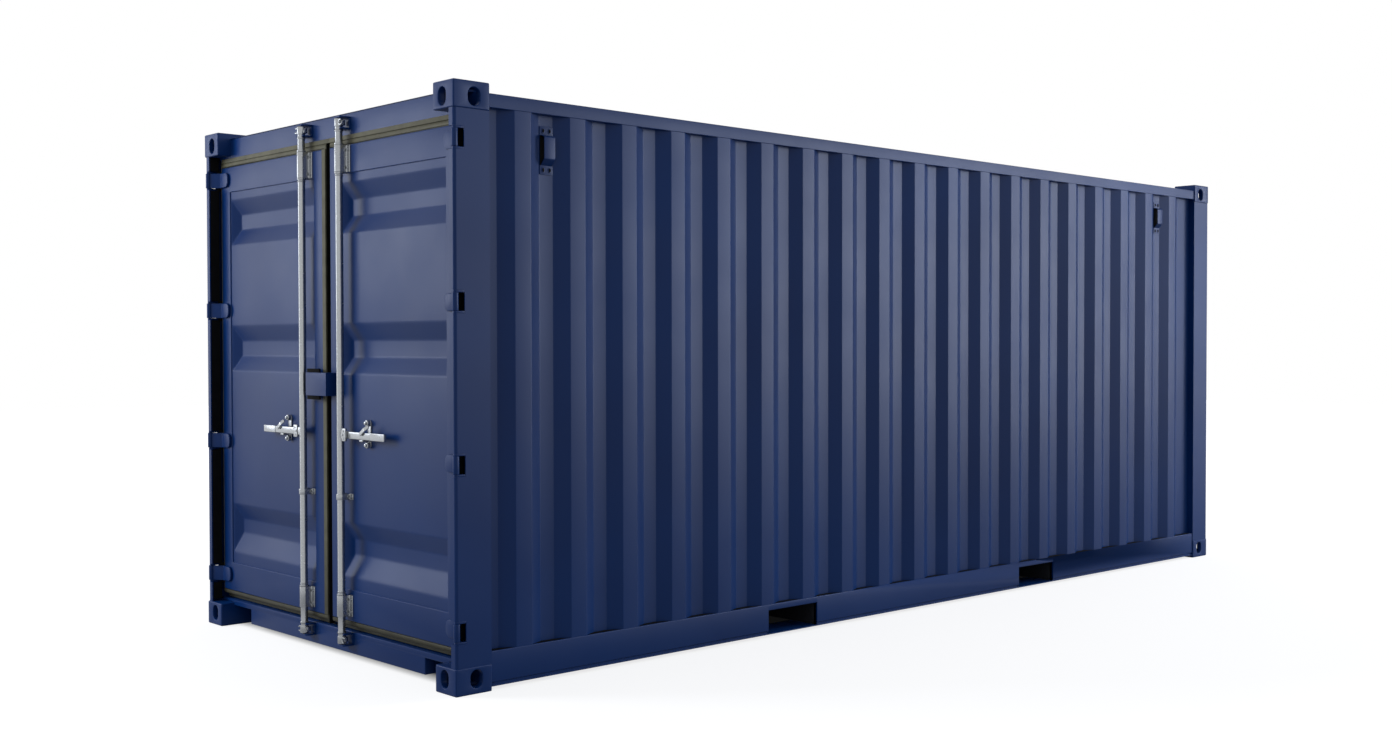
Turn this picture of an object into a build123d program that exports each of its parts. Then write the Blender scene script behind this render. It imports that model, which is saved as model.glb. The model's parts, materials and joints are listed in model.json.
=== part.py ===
from build123d import *
from math import ceil
import os

# Twenty-foot steel dry cargo container with two hinged doors at one end.
# Millimetres. The origin is the bottom centre of the outer box: X across the width,
# Y along the length with the doors at -Y, Z up. Left and right are as seen by someone
# who faces the doors.

# Outer size
length = 6058.0
width = 2438.0
height = 2591.0

# Corner castings
casting_long = 178.0
casting_wide = 162.0
casting_high = 118.0
casting_wall = 28.0
casting_back_wall = 16.0
casting_edge_radius = 9.0
slot_long = 124.5
slot_wide = 63.5
slot_from_end = 101.5
slot_from_side = 89.0
hole_wide = 60.0
hole_high = 79.5

# Door end posts: a folded outer plate and a rolled channel behind the leaf
post_inset = 4.0
post_plate = 6.0
post_lip = 43.0
post_bend_radius = 12.0
post_back_flange = 38.0
channel_web = 12.0
channel_reach = 113.0
channel_depth = 40.0
leaf_back_gap = 10.0

# Blind end posts
blind_post_reach = 110.0
blind_post_neck = 44.0

# Side rails; the bottom one stands on a flat bar with a groove between bar and web
rail_inset = 8.0
top_rail_size = 60.0
top_rail_wall = 3.0
top_rail_drop = 41.0
bottom_rail_wall = 4.5
bottom_rail_flange = 48.0
bottom_rail_low = 17.0
rail_bar_thick = 5.0
rail_groove_high = 12.0
rail_groove_deep = 6.0
floor_level = 170.0

# Header and sill
door_frame_inset = 69.0
header_drop = 139.0
header_top_drop = 27.0
header_wall = 4.0
header_rebate = 52.0
header_lap = 12.0
sill_low = 30.0
sill_high = 134.0
sill_wall = 5.0
notch_wide = 200.0
notch_high = 75.0

# Corrugated walls; the side waves stand nearer to the door end by their shift
sheet = 2.0
wall_inset = 10.0
side_outer_flat = 83.0
side_inner_flat = 73.0
side_slope = 68.0
side_depth = 36.0
side_wave_shift = 51.5
end_outer_flat = 110.0
end_inner_flat = 104.0
end_slope = 18.0
end_depth = 45.6
end_inset = 18.0

# Roof
roof_sheet = 2.0
roof_edge = 30.0
rib_pitch = 209.0
rib_wide = 118.0
rib_slope = 14.0
rib_high = 20.0
rib_end_gap = 55.0

# Floor and underframe
floor_thick = 28.0
floor_side_gap = 0.3
centre_rail_wide = 120.0
centre_rail_thick = 4.0
cross_flange = 45.0
cross_wall = 4.0
cross_pitch = 300.0
pocket_spacing = 2080.0
pocket_wide = 350.0
pocket_top = 140.0
pocket_plate = 3.0
strap_long = 200.0

# Ventilators
vent_wide = 70.0
vent_high = 214.0
vent_plate = 3.0
vent_hood_high = 132.0
vent_hood_wide = 54.0
vent_hood_out = 27.0
vent_hood_wall = 3.0
vent_top_slope = 8.0
vent_low_slope = 24.0
vent_top_gap = 46.0

# Door leaves
leaf_inset = 62.0
leaf_thick = 50.0
leaf_side_gap = 64.0
leaf_top_gap = 37.0
leaf_bottom_gap = 50.0
seam_half = 31.0
stile_wide = 100.0
stile_wall = 4.0
top_bar_high = 133.0
bottom_bar_high = 150.0
panel_setback = 6.0

# Pressed recesses of a leaf: two hang from its top, the deepest one stands over its foot
recess_depth = 34.0
recess_end_gap = 18.0
recess_end_slope = 80.0
recess_top_slope = 80.0
recess_bed = 78.0
recess_low_slope = 80.0
recess_drops = (173.0, 833.0)
foot_recess_rise = 206.0
foot_recess_bed = 73.0
foot_recess_low_slope = 103.0

# Seals
seal_depth = 34.0
seal_setback = 3.0
seal_frame_gap = 5.0
seal_seam_gap = 12.0
seal_seam_offset = 10.0

# Hinges
pin_inset = 14.0
pin_radius = 7.0
knuckle_radius = 13.5
pin_play = 0.2
hinge_top_inset = 66.0
hinge_pitch = 687.0
hinge_bottom_inset = 84.0
hinge_window_high = 98.0
hinge_window_deep = 54.0
lug_thick = 10.0
lug_play = 0.5
blade_thick = 12.0
blade_knee = 60.0
blade_flat = 140.0
blade_corner = 16.0

# Lock rods
rod_radius = 17.0
rod_wall = 3.2
rod_centre = 186.0
rod_inset = 29.0
rod_top_gap = 31.0
rod_bottom_rise = 52.0
cam_hub_radius = 20.0
cam_high = 36.0
cam_plate = 24.0
cam_reach = 26.0
cam_tip_half = 13.0
cam_horn_half = 24.0
cam_horn_reach = 17.0
collar_radius = 21.0
collar_high = 8.0
collar_gap = 0.5
keeper_wide = 70.0
keeper_jaw = 7.0
keeper_base = 4.0
keeper_front = 10.0
keeper_jaw_gap = 5.0
keeper_side_gap = 5.5
rod_play = 0.3

# Rod bearings and the small guide between them
upper_bearing_drop = 3.0
upper_bearing_high = 126.0
lower_bearing_rise = 24.0
lower_bearing_high = 100.0
guide_height = 770.0
guide_high = 28.0
bearing_shell = 4.0
bearing_flange = 27.0
bearing_plate = 5.0

# Handles
handle_height = 1062.0
handle_long = 363.0
handle_high = 33.0
handle_thick = 10.0
handle_pivot = 45.0
handle_pin_radius = 6.0
handle_slot_play = 0.3
hub_high = 46.0
hub_back = 24.0
hub_front = 62.0
hub_thick = 30.0
retainer_from_pivot = 159.0
retainer_wide = 30.0
retainer_high = 142.0
retainer_plate = 6.0
retainer_ledge = 9.0

# Lock box in two halves over the seam
box_half = 92.0
box_low = 1239.0
box_tall = 110.0
box_out = 57.0
box_wall = 5.0
box_seam = 6.5

# Small rounds that repeat are drawn with this many sides
round_sides = 16

end_y = length / 2
side_x = width / 2
door_y = -end_y
casting_x = side_x - casting_wide
casting_y = end_y - casting_long
post_x = side_x - post_inset
post_inner_x = post_x - post_plate
channel_edge = post_inner_x - channel_reach
rail_x = side_x - rail_inset
web_x = rail_x - rail_groove_deep - bottom_rail_wall
wall_x = side_x - wall_inset
frame_y = door_y + door_frame_inset
rebate_y = frame_y + header_rebate
leaf_y = door_y + leaf_inset
leaf_back_y = leaf_y + leaf_thick
leaf_edge = side_x - leaf_side_gap
panel_y = leaf_y + panel_setback
channel_y = leaf_back_y + leaf_back_gap
header_low = height - header_drop
header_high = height - header_top_drop
leaf_high = header_low - leaf_top_gap
leaf_low = sill_high + leaf_bottom_gap
top_rail_high = height - top_rail_drop
top_rail_low = top_rail_high - top_rail_size
end_face_y = end_y - end_inset
floor_low = floor_level - floor_thick
bar_top = bottom_rail_low + rail_bar_thick
header_back_y = -casting_y
pin_x = side_x - pin_inset
pin_y = door_y + pin_inset
rod_y = door_y + rod_inset
rod_high = header_high - rod_top_gap
rod_low = sill_low + rod_bottom_rise
handle_x = rod_centre + handle_pivot
hinge_heights = [leaf_high - hinge_top_inset - k * hinge_pitch for k in range(3)]
hinge_heights.append(leaf_low + hinge_bottom_inset)


def block(x0, x1, y0, y1, z0, z1):
    """A plain box between two corners."""
    centre = ((x0 + x1) / 2, (y0 + y1) / 2, (z0 + z1) / 2)
    return Pos(*centre) * Box(abs(x1 - x0), abs(y1 - y0), abs(z1 - z0))


def outline(points, z):
    """A closed face in plan."""
    return make_face(Polyline(*[(x, y, z) for x, y in points], close=True))


def prism(points, z0, z1):
    """A closed outline in plan, raised from z0 to z1."""
    return extrude(outline(points, z0), amount=z1 - z0, dir=(0, 0, 1))


def rod(x, y, z0, z1, radius):
    return Pos(x, y, (z0 + z1) / 2) * Cylinder(radius, z1 - z0)


def small_rod(x, y, z0, z1, radius, outside=False):
    """Upright round with few sides: inside the radius, or outside it for a bore."""
    return Pos(x, y, z0) * extrude(
        RegularPolygon(radius, round_sides, major_radius=not outside), amount=z1 - z0)


def stadium(long_side, wide):
    """Upright slot outline whose round ends have few sides."""
    half = (long_side - wide) / 2
    end = RegularPolygon(wide / 2, round_sides)
    return Rectangle(wide, 2 * half) + Pos(0, half) * end + Pos(0, -half) * end


def facing(x, y, z):
    """Plane that looks at the doors from outside; shapes raised on it grow inwards."""
    return Plane((x, y, z), x_dir=(1, 0, 0), z_dir=(0, 1, 0))


def pressing(long_side, wide, high, end_run, first_run, last_run):
    """Flat-bedded form raised on a rectangle, where each side slopes in by its own run."""
    ends = Polyline((0, 0), (long_side, 0), (long_side - end_run, high), (end_run, high), close=True)
    sides = Polyline((0, 0), (wide, 0), (wide - last_run, high), (first_run, high), close=True)
    across = extrude(Plane.XZ * make_face(ends), amount=-wide)
    along = extrude(Plane.YZ * make_face(sides), amount=long_side)
    return across & along


def mirrored(shape):
    """The same piece on the left-hand side."""
    return mirror(shape, about=Plane.YZ)


def both_sides(shape):
    return Compound(children=[mirrored(shape), shape])


def corner_casting(top):
    """The right-hand casting at the door end, hollow, with its slot and two holes."""
    z0 = height - casting_high if top else 0.0
    z1 = z0 + casting_high
    body = block(casting_x, side_x, door_y, -casting_y, z0, z1)
    outer_edge = body.edges().filter_by(Axis.Z).group_by(Axis.X)[-1].sort_by(Axis.Y)[0]
    body = fillet(outer_edge, casting_edge_radius)
    low = z0 + (casting_back_wall if top else casting_wall)
    high = z1 - (casting_wall if top else casting_back_wall)
    body -= block(
        casting_x + casting_back_wall, side_x - casting_wall,
        door_y + casting_wall, -casting_y - casting_back_wall, low, high)
    slot_x, slot_y = side_x - slot_from_side, door_y + slot_from_end
    slot_z = z1 - casting_wall if top else z0
    body -= Pos(slot_x, slot_y, slot_z) * extrude(stadium(slot_long, slot_wide), amount=casting_wall)
    hole = extrude(stadium(hole_high, hole_wide), amount=casting_wall)
    middle = (low + high) / 2
    body -= facing(slot_x, door_y, middle) * hole
    body -= Plane((side_x, slot_y, middle), x_dir=(0, 1, 0), z_dir=(-1, 0, 0)) * hole
    return body


def door_post():
    """Folded outer plate with a lip in front, closed behind by a rolled channel."""
    z0, z1 = casting_high, height - casting_high
    front = door_y + post_inset
    back = -casting_y
    flange = post_inner_x - post_back_flange
    plate = prism([
        (side_x - post_lip, front), (post_x, front), (post_x, back), (flange, back),
        (flange, back - post_plate), (post_inner_x, back - post_plate),
        (post_inner_x, front + post_plate), (side_x - post_lip, front + post_plate)], z0, z1)
    corner = plate.edges().filter_by(Axis.Z).group_by(Axis.X)[-1].sort_by(Axis.Y)[0]
    plate = fillet(corner, post_bend_radius)
    web_y = channel_y + channel_web
    close_y = channel_y + channel_depth
    channel = block(channel_edge, post_inner_x, channel_y, web_y, z0, z1)
    channel += block(channel_edge, channel_edge + channel_web, web_y, close_y, z0, z1)
    closing = block(channel_edge, post_inner_x, close_y, close_y + post_plate, z0, z1)
    post = plate + channel + closing
    for z in hinge_heights:
        post -= block(
            side_x - post_lip, side_x, door_y, door_y + hinge_window_deep,
            z - hinge_window_high / 2, z + hinge_window_high / 2)
    return post


def blind_post():
    """Hollow post folded from plate, with a slanted inner face."""
    z0, z1 = casting_high, height - casting_high
    face = end_y - post_inset
    inner = post_x - blind_post_reach
    section = outline([
        (post_x, casting_y), (post_x, face), (inner, face), (inner, face - blind_post_neck),
        (post_x - blind_post_neck, casting_y)], z0)
    hollow = offset(section, -post_plate, kind=Kind.INTERSECTION)
    return extrude(section, amount=z1 - z0, dir=(0, 0, 1)) - extrude(hollow, amount=z1 - z0, dir=(0, 0, 1))


def top_rail():
    outer = block(rail_x - top_rail_size, rail_x, -casting_y, casting_y, top_rail_low, top_rail_high)
    inset = top_rail_wall
    return outer - block(
        rail_x - top_rail_size + inset, rail_x - inset, -casting_y, casting_y,
        top_rail_low + inset, top_rail_high - inset)


def bottom_rail():
    """Channel on a flat bar, open inwards, with the two fork pockets cut through its web."""
    back = rail_x - bottom_rail_flange
    groove_top = bar_top + rail_groove_high
    wall = bottom_rail_wall
    rail = block(back, rail_x, -casting_y, casting_y, bottom_rail_low, bar_top)
    rail += block(web_x, web_x + wall, -casting_y, casting_y, bar_top, groove_top + wall)
    rail += block(web_x, rail_x, -casting_y, casting_y, groove_top, groove_top + wall)
    rail += block(rail_x - wall, rail_x, -casting_y, casting_y, groove_top, floor_level)
    rail += block(back, rail_x, -casting_y, casting_y, floor_level - wall, floor_level)
    for y in (-pocket_spacing / 2, pocket_spacing / 2):
        rail -= block(back, rail_x, y - pocket_wide / 2, y + pocket_wide / 2, bar_top, pocket_top)
    return rail


def door_header():
    """Box section over the doors: its rear half hangs lower, behind the leaves."""
    underside = height - casting_high
    rear_low = leaf_high - header_lap
    t = header_wall
    front = block(-casting_x, casting_x, frame_y, header_back_y, header_low, header_high)
    front -= block(
        -casting_x + t, casting_x - t, frame_y + t, header_back_y - t, header_low + t, header_high - t)
    shoulders = block(-post_inner_x, post_inner_x, frame_y, rebate_y, header_low, underside)
    shoulders -= block(-casting_x + t, casting_x - t, frame_y + t, rebate_y, header_low + t, underside)
    rear = block(-channel_edge, channel_edge, rebate_y, header_back_y, rear_low, underside)
    rear -= block(
        -channel_edge + t, channel_edge - t, rebate_y + t, header_back_y - t, rear_low + t, underside)
    return front + shoulders + rear


def door_sill():
    """Box section under the doors with a notch beside each casting."""
    notch_x = casting_x - notch_wide
    t = sill_wall
    low = block(-casting_x, casting_x, frame_y, header_back_y, sill_low, casting_high)
    step = block(-post_inner_x, post_inner_x, frame_y, rebate_y, casting_high, sill_high)
    rear = block(-channel_edge, channel_edge, rebate_y, header_back_y, casting_high, floor_level)
    sill = low + step + rear
    sill -= block(
        -notch_x + t, notch_x - t, frame_y + t, header_back_y - t, sill_low + t, casting_high)
    sill -= block(-notch_x + t, notch_x - t, frame_y + t, rebate_y, casting_high, sill_high - t)
    sill -= block(
        -notch_x + t, notch_x - t, rebate_y, header_back_y - t, casting_high, floor_level - t)
    for side in (-1, 1):
        sill -= block(
            side * notch_x, side * casting_x, frame_y, header_back_y, sill_low, sill_low + notch_high)
    return sill


def wave(span, shift, outer_flat, slope, inner_flat):
    """Corner positions along a corrugated sheet: (distance, 0 inside or 1 outside)."""
    one = outer_flat + 2 * slope
    pitch = one + inner_flat
    count = int((span - 2 * shift - one) // pitch) + 1
    start = -((count - 1) * pitch + one) / 2 - shift
    corners = [(-span / 2, 0)]
    for k in range(count):
        foot = start + k * pitch
        corners += [
            (foot, 0), (foot + slope, 1), (foot + slope + outer_flat, 1),
            (foot + 2 * slope + outer_flat, 0)]
    return corners + [(span / 2, 0)]


def side_wave():
    return wave(2 * casting_y, side_wave_shift, side_outer_flat, side_slope, side_inner_flat)


def side_wall():
    """Corrugated steel wall; the waves run up and down."""
    outside = [(wall_x - side_depth * (1 - out), y) for y, out in side_wave()]
    inside = [(x - sheet, y) for x, y in reversed(outside)]
    return prism(outside + inside, floor_level, top_rail_low)


def end_wall():
    """Corrugated blind end wall between its posts and rails."""
    span = 2 * (post_x - blind_post_reach)
    corners = wave(span, 0, end_outer_flat, end_slope, end_inner_flat)
    outside = [(x, end_face_y - end_depth * (1 - out)) for x, out in corners]
    inside = [(x, y - sheet) for x, y in reversed(outside)]
    wall = prism(outside + inside, floor_level, top_rail_low)
    for side in (-1, 1):
        wall -= block(
            side * casting_x, side * side_x, casting_y, end_y, height - casting_high, top_rail_low)
    return wall


def end_top_rail():
    back = end_face_y - top_rail_size
    inset = top_rail_wall
    outer = block(-casting_x, casting_x, back, end_face_y, top_rail_low, top_rail_high)
    return outer - block(
        -casting_x, casting_x, back + inset, end_face_y - inset, top_rail_low + inset, top_rail_high - inset)


def end_bottom_rail():
    """Channel under the blind end wall, open inwards; it reaches the posts above the castings."""
    back = end_face_y - top_rail_size
    t = bottom_rail_wall
    reach = post_x - blind_post_reach
    rail = block(-casting_x, casting_x, back, end_face_y, bottom_rail_low, floor_level)
    rail += block(-reach, reach, back, end_face_y, casting_high, floor_level)
    return rail - block(-reach, reach, back, end_face_y - t, bottom_rail_low + t, floor_level - t)


def roof():
    """Pressed sheet with closed cross ribs; the hollow is the same form set one sheet lower."""
    edge_x = rail_x - roof_edge
    top = top_rail_high + roof_sheet
    form = block(-edge_x, edge_x, -casting_y, casting_y, top_rail_high, top)
    form += block(-casting_x, casting_x, casting_y, end_face_y, top_rail_high, top)
    run = 2 * casting_y - 2 * rib_end_gap
    count = int((run - rib_wide) // rib_pitch) + 1
    long_side = 2 * (edge_x - rib_end_gap)
    rib = pressing(long_side, rib_wide, rib_high, rib_slope, rib_slope, rib_slope)
    for k in range(count):
        middle = (k - (count - 1) / 2) * rib_pitch
        form += Pos(-long_side / 2, middle - rib_wide / 2, top) * rib
    return form - Pos(0, 0, -roof_sheet) * form


def floor():
    """Two plywood halves, one each side of the centre rail."""
    edge = rail_x - bottom_rail_flange - floor_side_gap
    return both_sides(block(centre_rail_wide / 2, edge, -casting_y, casting_y, floor_low, floor_level))


def centre_rail():
    """Flat steel rail pressed as a shallow hat between the floor halves."""
    half = centre_rail_wide / 2
    inset = centre_rail_thick
    rail = block(-half, half, -casting_y, casting_y, floor_low, floor_level)
    return rail - block(-half + inset, half - inset, -casting_y, casting_y, floor_low, floor_level - inset)


def cross_channel(y, toward):
    """One floor bearer on the rails' bars: a channel whose flanges point along Y."""
    y1 = y + toward * cross_flange
    body = block(-web_x, web_x, y, y1, bar_top, floor_low)
    return body - block(
        -web_x, web_x, y + toward * cross_wall, y1, bar_top + cross_wall, floor_low - cross_wall)


def crossmembers():
    """Bearers at an even pitch in the three bays between the ends and the pockets."""
    near = pocket_spacing / 2 - pocket_wide / 2
    far = pocket_spacing / 2 + pocket_wide / 2
    bearers = []
    for y0, y1 in ((-casting_y, -far), (-near, near), (far, casting_y)):
        count = ceil((y1 - y0 - 2 * cross_flange) / cross_pitch)
        first = y0 if y0 > -casting_y else y0 + cross_flange
        last = y1 if y1 < casting_y else y1 - cross_flange
        step = (last - first) / count
        for k in range(count + 1):
            toward = -1 if k == count else 1
            bearers.append(cross_channel(first + k * step, toward))
    return Compound(children=bearers)


def fork_pocket(y):
    """Tunnel roof of one pocket and the two straps that widen the rails' bars below it."""
    y0, y1 = y - pocket_wide / 2, y + pocket_wide / 2
    reach = rail_x - bottom_rail_wall
    lid = block(-reach, reach, y0, y1, floor_low - pocket_plate, floor_low)
    strap = block(
        rail_x - strap_long, rail_x - bottom_rail_flange, y0, y1, bottom_rail_low, bar_top)
    return [lid, strap, mirrored(strap)]


def fork_pockets():
    pieces = fork_pocket(-pocket_spacing / 2) + fork_pocket(pocket_spacing / 2)
    return Compound(children=pieces)


def ventilator(y):
    """Plate with a raised hood, open at its two sides."""
    face = wall_x - side_depth
    skin = face + vent_plate
    out = skin + vent_hood_out
    z1 = top_rail_low - vent_top_gap
    z0 = z1 - vent_high
    middle = (z0 + z1) / 2
    high, low = middle + vent_hood_high / 2, middle - vent_hood_high / 2
    points = [(skin, high), (out, high - vent_top_slope), (out, low + vent_low_slope), (skin, low)]
    side = y - vent_hood_wide / 2
    section = make_face(Polyline(*[(x, side, z) for x, z in points], close=True))
    hollow = offset(section, -vent_hood_wall, kind=Kind.INTERSECTION)
    hood = extrude(section, amount=vent_hood_wide, dir=(0, 1, 0))
    hood -= extrude(hollow, amount=vent_hood_wide, dir=(0, 1, 0))
    return block(face, skin, y - vent_wide / 2, y + vent_wide / 2, z0, z1) + hood


def ventilators():
    """Between the first two waves and between the last two of both side walls."""
    corners = side_wave()
    flats = [(corners[4][0], corners[5][0]), (corners[-6][0], corners[-5][0])]
    right = [ventilator((y0 + y1) / 2) for y0, y1 in flats]
    return Compound(children=right + [mirrored(v) for v in right])


def cam_keeper(z0, z1, rod_below):
    """Base and two jaws, one above and one below the cam; the rod side is slotted."""
    x0, x1 = rod_centre - keeper_wide / 2, rod_centre + keeper_wide / 2
    front = rod_y - keeper_front
    low, high = z0 - keeper_jaw_gap - keeper_jaw, z1 + keeper_jaw_gap + keeper_jaw
    keeper = block(x0, x1, frame_y - keeper_base, frame_y, low, high)
    keeper += block(x0, x1, front, frame_y, low, low + keeper_jaw)
    keeper += block(x0, x1, front, frame_y, high - keeper_jaw, high)
    gap = rod_radius + keeper_side_gap
    jaw = (low, low + keeper_jaw) if rod_below else (high - keeper_jaw, high)
    keeper -= block(rod_centre - gap, rod_centre + gap, front, rod_y, *jaw)
    keeper -= rod(rod_centre, rod_y, *jaw, gap)
    return keeper


def cam_keepers():
    upper = cam_keeper(rod_high - cam_high, rod_high, True)
    lower = cam_keeper(rod_low, rod_low + cam_high, False)
    return Compound(children=[upper, lower, mirrored(upper), mirrored(lower)])


def hinge_lug(z0, z1):
    """Ear round the pin, reaching back to the end of the post window."""
    ear = small_rod(pin_x, pin_y, z0, z1, knuckle_radius - post_inset)
    ear += block(pin_x - knuckle_radius, post_x, pin_y, door_y + hinge_window_deep, z0, z1)
    return ear


def hinge_lugs():
    """Two ears and the pin between them at each hinge."""
    lugs = []
    for z in hinge_heights:
        low, high = z - hinge_window_high / 2, z + hinge_window_high / 2
        lug = hinge_lug(low, low + lug_thick) + hinge_lug(high - lug_thick, high)
        lugs.append(lug + small_rod(pin_x, pin_y, low, high, pin_radius))
    return Compound(children=lugs + [mirrored(part) for part in lugs])


def hinge_blade(z):
    """Forged strap that wraps the pin, bends at a knee and lies flat on the stile."""
    half = hinge_window_high / 2 - lug_thick - lug_play
    z0, z1 = z - half, z + half
    knee_x, knee_y = pin_x - blade_knee, leaf_y - blade_thick / 2
    run = Vector(knee_x - pin_x, knee_y - pin_y).normalized()
    dx, dy = -run.Y * blade_thick / 2, run.X * blade_thick / 2
    arm = prism([
        (pin_x + dx, pin_y + dy), (knee_x + dx, knee_y + dy),
        (knee_x - dx, knee_y - dy), (pin_x - dx, pin_y - dy)], z0, z1)
    flat = block(knee_x - blade_flat, knee_x, leaf_y - blade_thick, leaf_y, z0, z1)
    tail = flat.edges().filter_by(Axis.Y).group_by(Axis.X)[0]
    flat = chamfer(tail, blade_corner)
    knee = small_rod(knee_x, knee_y, z0, z1, blade_thick / 2)
    blade = arm + flat + knee + rod(pin_x, pin_y, z0, z1, knuckle_radius)
    return blade - small_rod(pin_x, pin_y, z0, z1, pin_radius + pin_play, outside=True)


def hinge_blades():
    return Compound(children=[hinge_blade(z) for z in hinge_heights])


def leaf_frame():
    """Welded frame of one leaf from square tube, hollow, with closed corners."""
    t = stile_wall
    x0, x1 = seam_half + stile_wide, leaf_edge - stile_wide
    y0, y1 = leaf_y + t, leaf_back_y - t
    z0, z1 = leaf_low + bottom_bar_high, leaf_high - top_bar_high
    frame = block(seam_half, leaf_edge, leaf_y, leaf_back_y, leaf_low, leaf_high)
    frame -= block(x0, x1, leaf_y, leaf_back_y, z0, z1)
    for edge in (seam_half, leaf_edge - stile_wide):
        frame -= block(edge + t, edge + stile_wide - t, y0, y1, leaf_low + t, leaf_high - t)
    frame -= block(x0, x1, y0, y1, leaf_low + t, z0 - t)
    frame -= block(x0, x1, y0, y1, z1 + t, leaf_high - t)
    return frame


def recesses():
    """Upper edge, height, first and last slope of each recess, from the top down."""
    high = recess_top_slope + recess_bed + recess_low_slope
    found = [(leaf_high - drop, high, recess_top_slope, recess_low_slope) for drop in recess_drops]
    high = recess_top_slope + foot_recess_bed + foot_recess_low_slope
    found.append((leaf_low + foot_recess_rise + high, high, recess_top_slope, foot_recess_low_slope))
    return found


def leaf_panel():
    """Pressed sheet of one leaf with its closed horizontal recesses."""
    x0, x1 = seam_half + stile_wide, leaf_edge - stile_wide
    form = block(x0, x1, panel_y, panel_y + sheet, leaf_low + bottom_bar_high, leaf_high - top_bar_high)
    long_side = x1 - x0 - 2 * recess_end_gap
    for top, high, first, last in recesses():
        place = facing(x0 + recess_end_gap, panel_y + sheet, top)
        form += place * pressing(long_side, high, recess_depth, recess_end_slope, first, last)
    return form - Pos(0, -sheet, 0) * form


def leaf_seal(side):
    """Rubber strip round a leaf; the left one is the wider at the seam."""
    y0 = leaf_y + seal_setback
    y1 = y0 + seal_depth
    inner = side * seal_seam_offset + seal_seam_gap / 2
    outer = side_x - post_lip - seal_frame_gap
    ring = block(inner, outer, y0, y1, sill_high + seal_frame_gap, header_low - seal_frame_gap)
    return ring - block(seam_half, leaf_edge, y0, y1, leaf_low, leaf_high)


def bearing(z0, z1, seat_y):
    """Shell over the rod with a flange on each side, bolted to the leaf."""
    inner = rod_radius + rod_play
    outer = inner + bearing_shell
    body = rod(rod_centre, rod_y, z0, z1, outer)
    body += block(rod_centre - outer, rod_centre + outer, rod_y, seat_y, z0, z1)
    body += block(
        rod_centre - outer - bearing_flange, rod_centre + outer + bearing_flange,
        seat_y - bearing_plate, seat_y, z0, z1)
    body -= rod(rod_centre, rod_y, z0, z1, inner)
    body -= block(rod_centre - inner, rod_centre + inner, rod_y, seat_y, z0, z1)
    return body


def upper_bearing():
    top = leaf_high - upper_bearing_drop
    return top - upper_bearing_high, top


def lower_bearing():
    foot = leaf_low + lower_bearing_rise
    return foot, foot + lower_bearing_high


def rod_bearings():
    guide = bearing(guide_height - guide_high / 2, guide_height + guide_high / 2, panel_y)
    return Compound(children=[bearing(*upper_bearing(), leaf_y), bearing(*lower_bearing(), leaf_y), guide])


def cam(z0, z1):
    """Solid forged hub with a two-horned plate towards the frame."""
    hub = rod(rod_centre, rod_y, z0, z1, cam_hub_radius)
    inset = (cam_high - cam_plate) / 2
    plan = [
        (-cam_horn_half, 0), (-cam_horn_half, cam_horn_reach), (-cam_tip_half, cam_reach),
        (cam_tip_half, cam_reach), (cam_horn_half, cam_horn_reach), (cam_horn_half, 0)]
    return hub + prism([(rod_centre + x, rod_y + y) for x, y in plan], z0 + inset, z1 - inset)


def handle_hub():
    """Clamp on the rod with a fork that holds the handle on its pin."""
    z0, z1 = handle_height - hub_high / 2, handle_height + hub_high / 2
    y0, y1 = rod_y - hub_thick / 2, rod_y + hub_thick / 2
    hub = block(rod_centre - hub_back, rod_centre + hub_front, y0, y1, z0, z1)
    slot = handle_thick / 2 + handle_slot_play
    hub -= block(
        rod_centre + hub_back, rod_centre + hub_front, rod_y - slot, rod_y + slot, z0, z1)
    return hub + facing(handle_x, y0, handle_height) * extrude(Circle(handle_pin_radius), amount=hub_thick)


def lock_rod():
    """Tube with a cam at each end, a collar at each bearing and the handle hub."""
    low_cam, high_cam = rod_low + cam_high, rod_high - cam_high
    shaft = rod(rod_centre, rod_y, rod_low, rod_high, rod_radius)
    shaft += cam(rod_low, low_cam) + cam(high_cam, rod_high) + handle_hub()
    collars = (
        upper_bearing()[0] - collar_gap - collar_high, upper_bearing()[1] + collar_gap,
        lower_bearing()[1] + collar_gap)
    for z in collars:
        shaft += rod(rod_centre, rod_y, z, z + collar_high, collar_radius)
    return shaft - rod(rod_centre, rod_y, low_cam, high_cam, rod_radius - rod_wall)


def handle():
    """Flat bar with a round eye at the hub pin."""
    y0 = rod_y - handle_thick / 2
    half = handle_high / 2
    bar = block(
        handle_x, handle_x + handle_long, y0, y0 + handle_thick, handle_height - half, handle_height + half)
    place = facing(handle_x, y0, handle_height)
    bar += place * extrude(Circle(half), amount=handle_thick)
    return bar - place * extrude(Circle(handle_pin_radius + pin_play), amount=handle_thick)


def handle_retainer():
    """Plate with rounded ends and a ledge under the handle."""
    x = handle_x + retainer_from_pivot
    half = retainer_wide / 2
    plate = extrude(stadium(retainer_high, retainer_wide), amount=retainer_plate)
    top = handle_height - handle_high / 2 - rod_play
    ledge = block(x - half, x + half, rod_y - handle_thick, panel_y, top - retainer_ledge, top)
    return facing(x, panel_y - retainer_plate, handle_height) * plate + ledge


def lock_box():
    """Half of the padlock cover: open below and towards the seam."""
    t = box_wall
    y0 = leaf_y - box_out
    high = box_low + box_tall
    body = block(box_seam, box_half, y0, leaf_y, box_low, high)
    return body - block(box_seam, box_half - t, y0 + t, leaf_y, box_low, high - t)


def save(name, shape):
    export_step(shape, os.path.join("parts", name + ".step"))


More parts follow.
